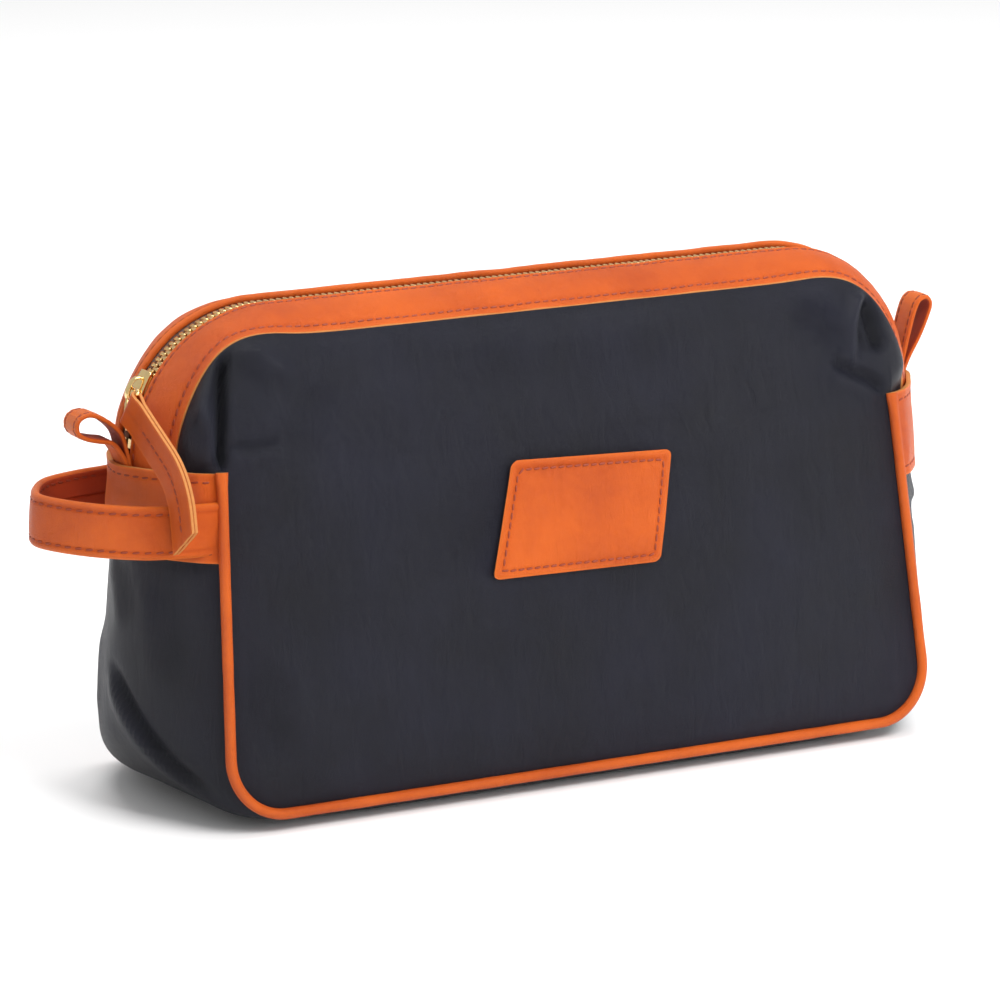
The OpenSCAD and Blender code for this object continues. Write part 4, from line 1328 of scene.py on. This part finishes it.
def strap_handle():
    low, high = box_mm("handle_strap")
    far = -low[0] - STRAP_T / 2
    mid_z = (low[2] + high[2]) / 2
    plan = [(-130.4, -34.3), (-135, -33.9), (-143, -32.6), (-155, -29.0), (-166.5, -21.0),
            (-175.5, -10.5), (3.0 - far, 0.5), (-176.0, 12.0), (-168, 22.5), (-155, 29.0),
            (-143, 32.2), (-135, 33.3), (-130.4, 33.7)]
    rise = [0, 0, 0, 0.1, 0.5, 0.9, 1.1, 1.0, 0.7, 0.3, 0, 0, 0]
    points = [(x, y, mid_z + r) for (x, y), r in zip(plan, rise)]
    path = curve_through(points, 190)
    along = tangents(path)
    out = unit(np.stack([along[:, 1], -along[:, 0], 0 * along[:, 0]], 1))
    out *= np.sign(np.sum(out * (path - np.array([-140, 0, mid_z])), 1).mean())
    bend = 0.10 * np.sin(math.pi * np.linspace(0, 1, len(path)))
    up = unit(np.array([0, 0, 1.0]) + out * -0.6 * bend[:, None])
    out = unit(out - up * np.sum(out * up, 1, keepdims=True))
    outline, kinds = strap_outline()
    sections = np.tile(outline, (len(path), 1, 1))
    sections[..., 1] += 0.16 * waves(path, 81, 24)[:, None] + 0.05 * waves(path, 82, 7)[:, None]
    z = np.tile(outline[:, 0], len(path))
    wear = bell(np.abs(z) - STRAP_W / 2, 0.9)
    # Painted shade in the strap's stitch grooves.
    crease = 0.55 * bell(np.abs(z) - (STRAP_W / 2 - 2.7), 0.5)
    obj = sweep("leather_strap_handle", path, up, out, sections, [ORANGE, SHADED_BACK_ORANGE], kinds=kinds,
                floats={"wear": wear, "crease": crease})
    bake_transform(obj)
    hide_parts("handle_strap")
    for height in (-1, 1):
        row = height * (STRAP_W / 2 - 2.7)
        for face in (1, -1):
            at = np.interp(row, outline[:37, 0], outline[:37, 1]) if face == 1 else -STRAP_T / 2 + 0.12
            line = path + up * row + out * (at + 0.16 * waves(path, 81, 24)[:, None])
            stitched("handle", line, out * face, 3.8, sink=-0.08, slant=0.15 * face, trim=15.0)


strap_handle()


# ---------------------------------------------------------------- end loops


def end_loop(name, node, body, plan, y_mid, width):
    """A strip folded into a loop, both ends tucked in behind the side band."""
    line = curve_through([(x, y_mid, z) for x, z in plan], 84)
    along = tangents(line)
    side = np.tile([0.0, 1.0, 0.0], (len(line), 1))
    out = unit(np.cross(side, along))
    middle = line[20:60].mean(0)
    out *= np.sign(np.sum(out[20:60] * (line[20:60] - middle), 1).mean())
    half = width / 2
    w = np.linspace(-half + 0.7, half - 0.7, 17)
    groove = 0.2 * bell(np.abs(w) - (half - 1.9), 0.4)
    face = np.stack([w, 0.75 + 0.15 * np.cos(math.pi * w / width) - groove], 1)
    a = np.radians(np.arange(60, -61, -30))
    right = np.stack([half - 0.7 + 0.7 * np.cos(a), 0.7 * np.sin(a)], 1)
    back = np.stack([w[::-1], -0.7 + 0 * w], 1)
    left = np.stack([-half + 0.7 - 0.7 * np.cos(a), -0.7 * np.sin(a)], 1)
    outline = np.vstack([face, right, back, left])
    kinds = np.zeros(len(outline), int)
    # The back face takes the darker copy of the orange leather, as painted shade.
    kinds[len(w) + len(a) : 2 * len(w) + len(a)] = 1
    runs = lengths(line) / lengths(line)[-1]
    sections = np.tile(outline, (len(line), 1, 1))
    bend = bell(runs - 0.5, 0.13)
    ripple = 0.16 * np.sin(runs * 2 * math.pi * 34) * bend
    outer = np.arange(len(outline)) < len(w)
    sections[..., 1] += ripple[:, None] * outer[None, :]
    across = np.abs(outline[:, 0])
    # Edges rubbed paler; the outer face at the bend is paler, with stretch marks and a painted highlight.
    wear = np.clip(0.25 * bell(across - half, 0.8) + 1.25 * bend[:, None] * outer, 0, 1)
    # Painted shade in the loop's stitch grooves.
    crease = np.tile(0.4 * bell(across - (half - 1.9), 0.4), (len(line), 1))
    obj = sweep(name, line, side, out, sections, [ORANGE, SHADED_BACK_ORANGE], kinds=kinds,
                floats={"wear": wear, "crease": crease})
    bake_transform(obj)
    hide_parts(node)
    for row in (-1, 1):
        path = line + side * row * (half - 1.9) + out * 0.62
        stitched(body, path[14:-14], out[14:-14], 3.0, sink=-0.02, slant=0.12)


LEFT_PLAN = [(-150.0, 114.6), (-150.3, 118.5), (-151.4, 124.0), (-153.0, 129.5), (-156.6, 133.4),
             (-161.6, 136.5), (-165.4, 137.2), (-168.4, 135.4), (-168.6, 131.9), (-165.8, 129.6),
             (-161.0, 128.2), (-156.2, 127.0), (-153.0, 123.0), (-151.2, 118.6), (-150.9, 114.6)]
RIGHT_PLAN = [(150.0, 114.6), (150.3, 119.0), (152.0, 126.0), (154.0, 134.0), (156.2, 141.4), (158.2, 144.6),
              (161.0, 145.2), (162.6, 142.8), (161.4, 138.6), (158.2, 131.6), (154.0, 124.4), (151.6, 118.8),
              (150.9, 114.6)]
end_loop("left_leather_loop", "left_end_loop", "left_loop", LEFT_PLAN, -2.9, 10.8)
end_loop("right_leather_loop", "right_end_loop", "right_loop", RIGHT_PLAN, 0.0, 11.0)


# ---------------------------------------------------------------- patch


def patch():
    """A blank stitched patch that follows the swell of the front."""
    corners = np.array([(-24.5, 112.8), (37.2, 110.2), (29.4, 73.2), (-35.1, 74.3)])
    rows, cols = 45, 67
    r = 2.6
    v = np.linspace(0, 1, rows)
    u = np.linspace(0, 1, cols)
    top = mix(corners[0][None], corners[1][None], u[:, None])
    low = mix(corners[3][None], corners[2][None], u[:, None])
    at = mix(top[None], low[None], v[:, None, None])
    size = np.array([62.0, 39.5])
    px = (u[None, :] - 0.5) * size[0] + 0 * v[:, None]
    pz = (0.5 - v[:, None]) * size[1] + 0 * u[None, :]
    over_x = np.maximum(0, np.abs(px) - (size[0] / 2 - r))
    over_z = np.maximum(0, np.abs(pz) - (size[1] / 2 - r))
    away = np.hypot(over_x, over_z)
    pull = np.where((over_x > 0) & (over_z > 0), np.maximum(over_x, over_z) / np.maximum(away, 1e-6), 1.0)
    shift_x = np.sign(px) * over_x * (pull - 1)
    shift_z = np.sign(pz) * over_z * (pull - 1)
    at = at + np.stack([shift_x, shift_z], -1)
    edge = np.minimum(size[0] / 2 - np.abs(px + shift_x), size[1] / 2 - np.abs(pz + shift_z))
    corner = r - np.where((over_x > 0) & (over_z > 0), np.hypot(over_x, over_z) * pull, 0)
    edge = np.where((over_x > 0) & (over_z > 0), corner, edge)
    x, z = at[..., 0], at[..., 1]
    puff = 1.3 * (1 - np.exp(-seam_distance(x, z) / 5))
    base = np.stack([x, -(front_face(x, z) + puff), z], -1)
    normals = grid_normals(base)
    normals *= np.sign(normals[..., 1:2]) * -1
    off = 1.85 + 0.35 * smooth(edge / 7) - 0.3 * bell(edge - 2.8, 0.6) - 0.35 * bell(edge, 0.5)
    off = off + 0.55 * waves(base, 3, 70) + 0.22 * waves(base, 4, 26) + 0.05 * waves(base, 91, 9)
    shape = base + normals * off[..., None]
    # Rim rubbed paler; painted shade in the stitch groove.
    obj = layer("leather_patch", shape, normals, 1.5, [ORANGE, RAW],
                floats={"wear": 0.8 * bell(edge, 0.9), "crease": 0.4 * bell(edge - 2.8, 0.6)})
    finish_piece(obj, "bag", "orange_leather", "patch")
    inset = 2.8
    line = []
    for k in range(4):
        p, a, b = corners[k], corners[k - 1], corners[(k + 1) % 4]
        into = unit(a - p) + unit(b - p)
        line.append(p + into * inset * 1.02)
    loop = rounded_loop([np.array([*p, 0.0]) for p in line], 1.6)
    loop = resample(np.vstack([loop, loop[:1]]), 400)
    from_grid = shape.reshape(-1, 3)
    near = [int(np.argmin(np.sum((from_grid[:, [0, 2]] - p[:2]) ** 2, 1))) for p in loop]
    depth = from_grid[near, 1]
    depth = np.convolve(np.r_[depth[-8:], depth, depth[:8]], np.ones(9) / 9, "same")[8:-8]
    at = np.stack([loop[:, 0], depth - 0.05, loop[:, 1]], 1)
    stitched("bag", at, normals.reshape(-1, 3)[near], 3.1, sink=-0.1, slant=0.1)


patch()

# ---------------------------------------------------------------- stitches, and the kept solids' finishes

for body, rows in stitch_rows.items():
    made = repeat(f"{body}_stitches", STITCH, rows, (2.35, 0.75, 0.55), HOLE_SHADE_THREAD, 0.07, 5)
    finish_piece(made, body, "orange_leather")

for shape in (STITCH, tooth):
    bpy.data.objects.remove(shape)

for node, finish in (
    ("base_board", BOARD),
    ("front_piping_cord", CORD),
    ("back_piping_cord", CORD),
    ("zip_top_stops", TEETH),
    ("zip_bottom_stop", TEETH),
):
    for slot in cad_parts[node].material_slots:
        slot.material = finish

# ---------------------------------------------------------------- floor, light and camera

floor = make_object("floor", [(-3000, -3000, 0), (3000, -3000, 0), (3000, 3000, 0), (-3000, 3000, 0)],
                    [(0, 1, 2, 3)], [])
white = Finish("white_floor")
floor.data.materials.append(white.close({
    "Base Color": white.blend((white.noise(3, 2) * 0.1).held(), (0.97, 0.97, 0.97), (0.94, 0.94, 0.95)),
    "Roughness": 0.9, "Specular IOR Level": 0.1,
}))


def softbox(name, place, aim, size, power):
    data = bpy.data.lights.new(name, "AREA")
    data.shape = "RECTANGLE"
    data.size, data.size_y = size
    data.energy = power
    lamp = bpy.data.objects.new(name, data)
    bpy.context.scene.collection.objects.link(lamp)
    lamp.location = place
    lamp.rotation_euler = (Vector(aim) - Vector(place)).to_track_quat("-Z", "Y").to_euler()


softbox("key_light", (0.5, -1.3, 1.7), (0, 0, 0.08), (1.1, 0.9), 32)
softbox("top_light", (0.2, 0.5, 2.0), (0, 0, 0.1), (1.6, 1.2), 27)
softbox("right_light", (1.5, -1.8, 0.75), (0.02, 0, 0.1), (0.8, 0.7), 15)

world = bpy.data.worlds.new("studio")
world.use_nodes = True
world.node_tree.nodes["Background"].inputs["Color"].default_value = (1.0, 1.0, 1.0, 1.0)
world.node_tree.nodes["Background"].inputs["Strength"].default_value = 0.58
bpy.context.scene.world = world
bpy.context.scene.view_settings.view_transform = "Standard"

AZIMUTH, ELEVATION, DISTANCE = math.radians(28.3), math.radians(13.8), 1.851
lens = bpy.data.cameras.new("camera")
lens.sensor_width = 36
lens.lens = 5.366 * 36
lens.shift_x, lens.shift_y = -0.021, 0.024
lens.clip_start, lens.clip_end = 0.05, 50
camera = bpy.data.objects.new("camera", lens)
bpy.context.scene.collection.objects.link(camera)
camera.location = (
    -DISTANCE * math.sin(AZIMUTH) * math.cos(ELEVATION),
    -DISTANCE * math.cos(AZIMUTH) * math.cos(ELEVATION),
    0.08 + DISTANCE * math.sin(ELEVATION),
)
camera.rotation_euler = (math.pi / 2 - ELEVATION, 0, -AZIMUTH)
bpy.context.scene.camera = camera
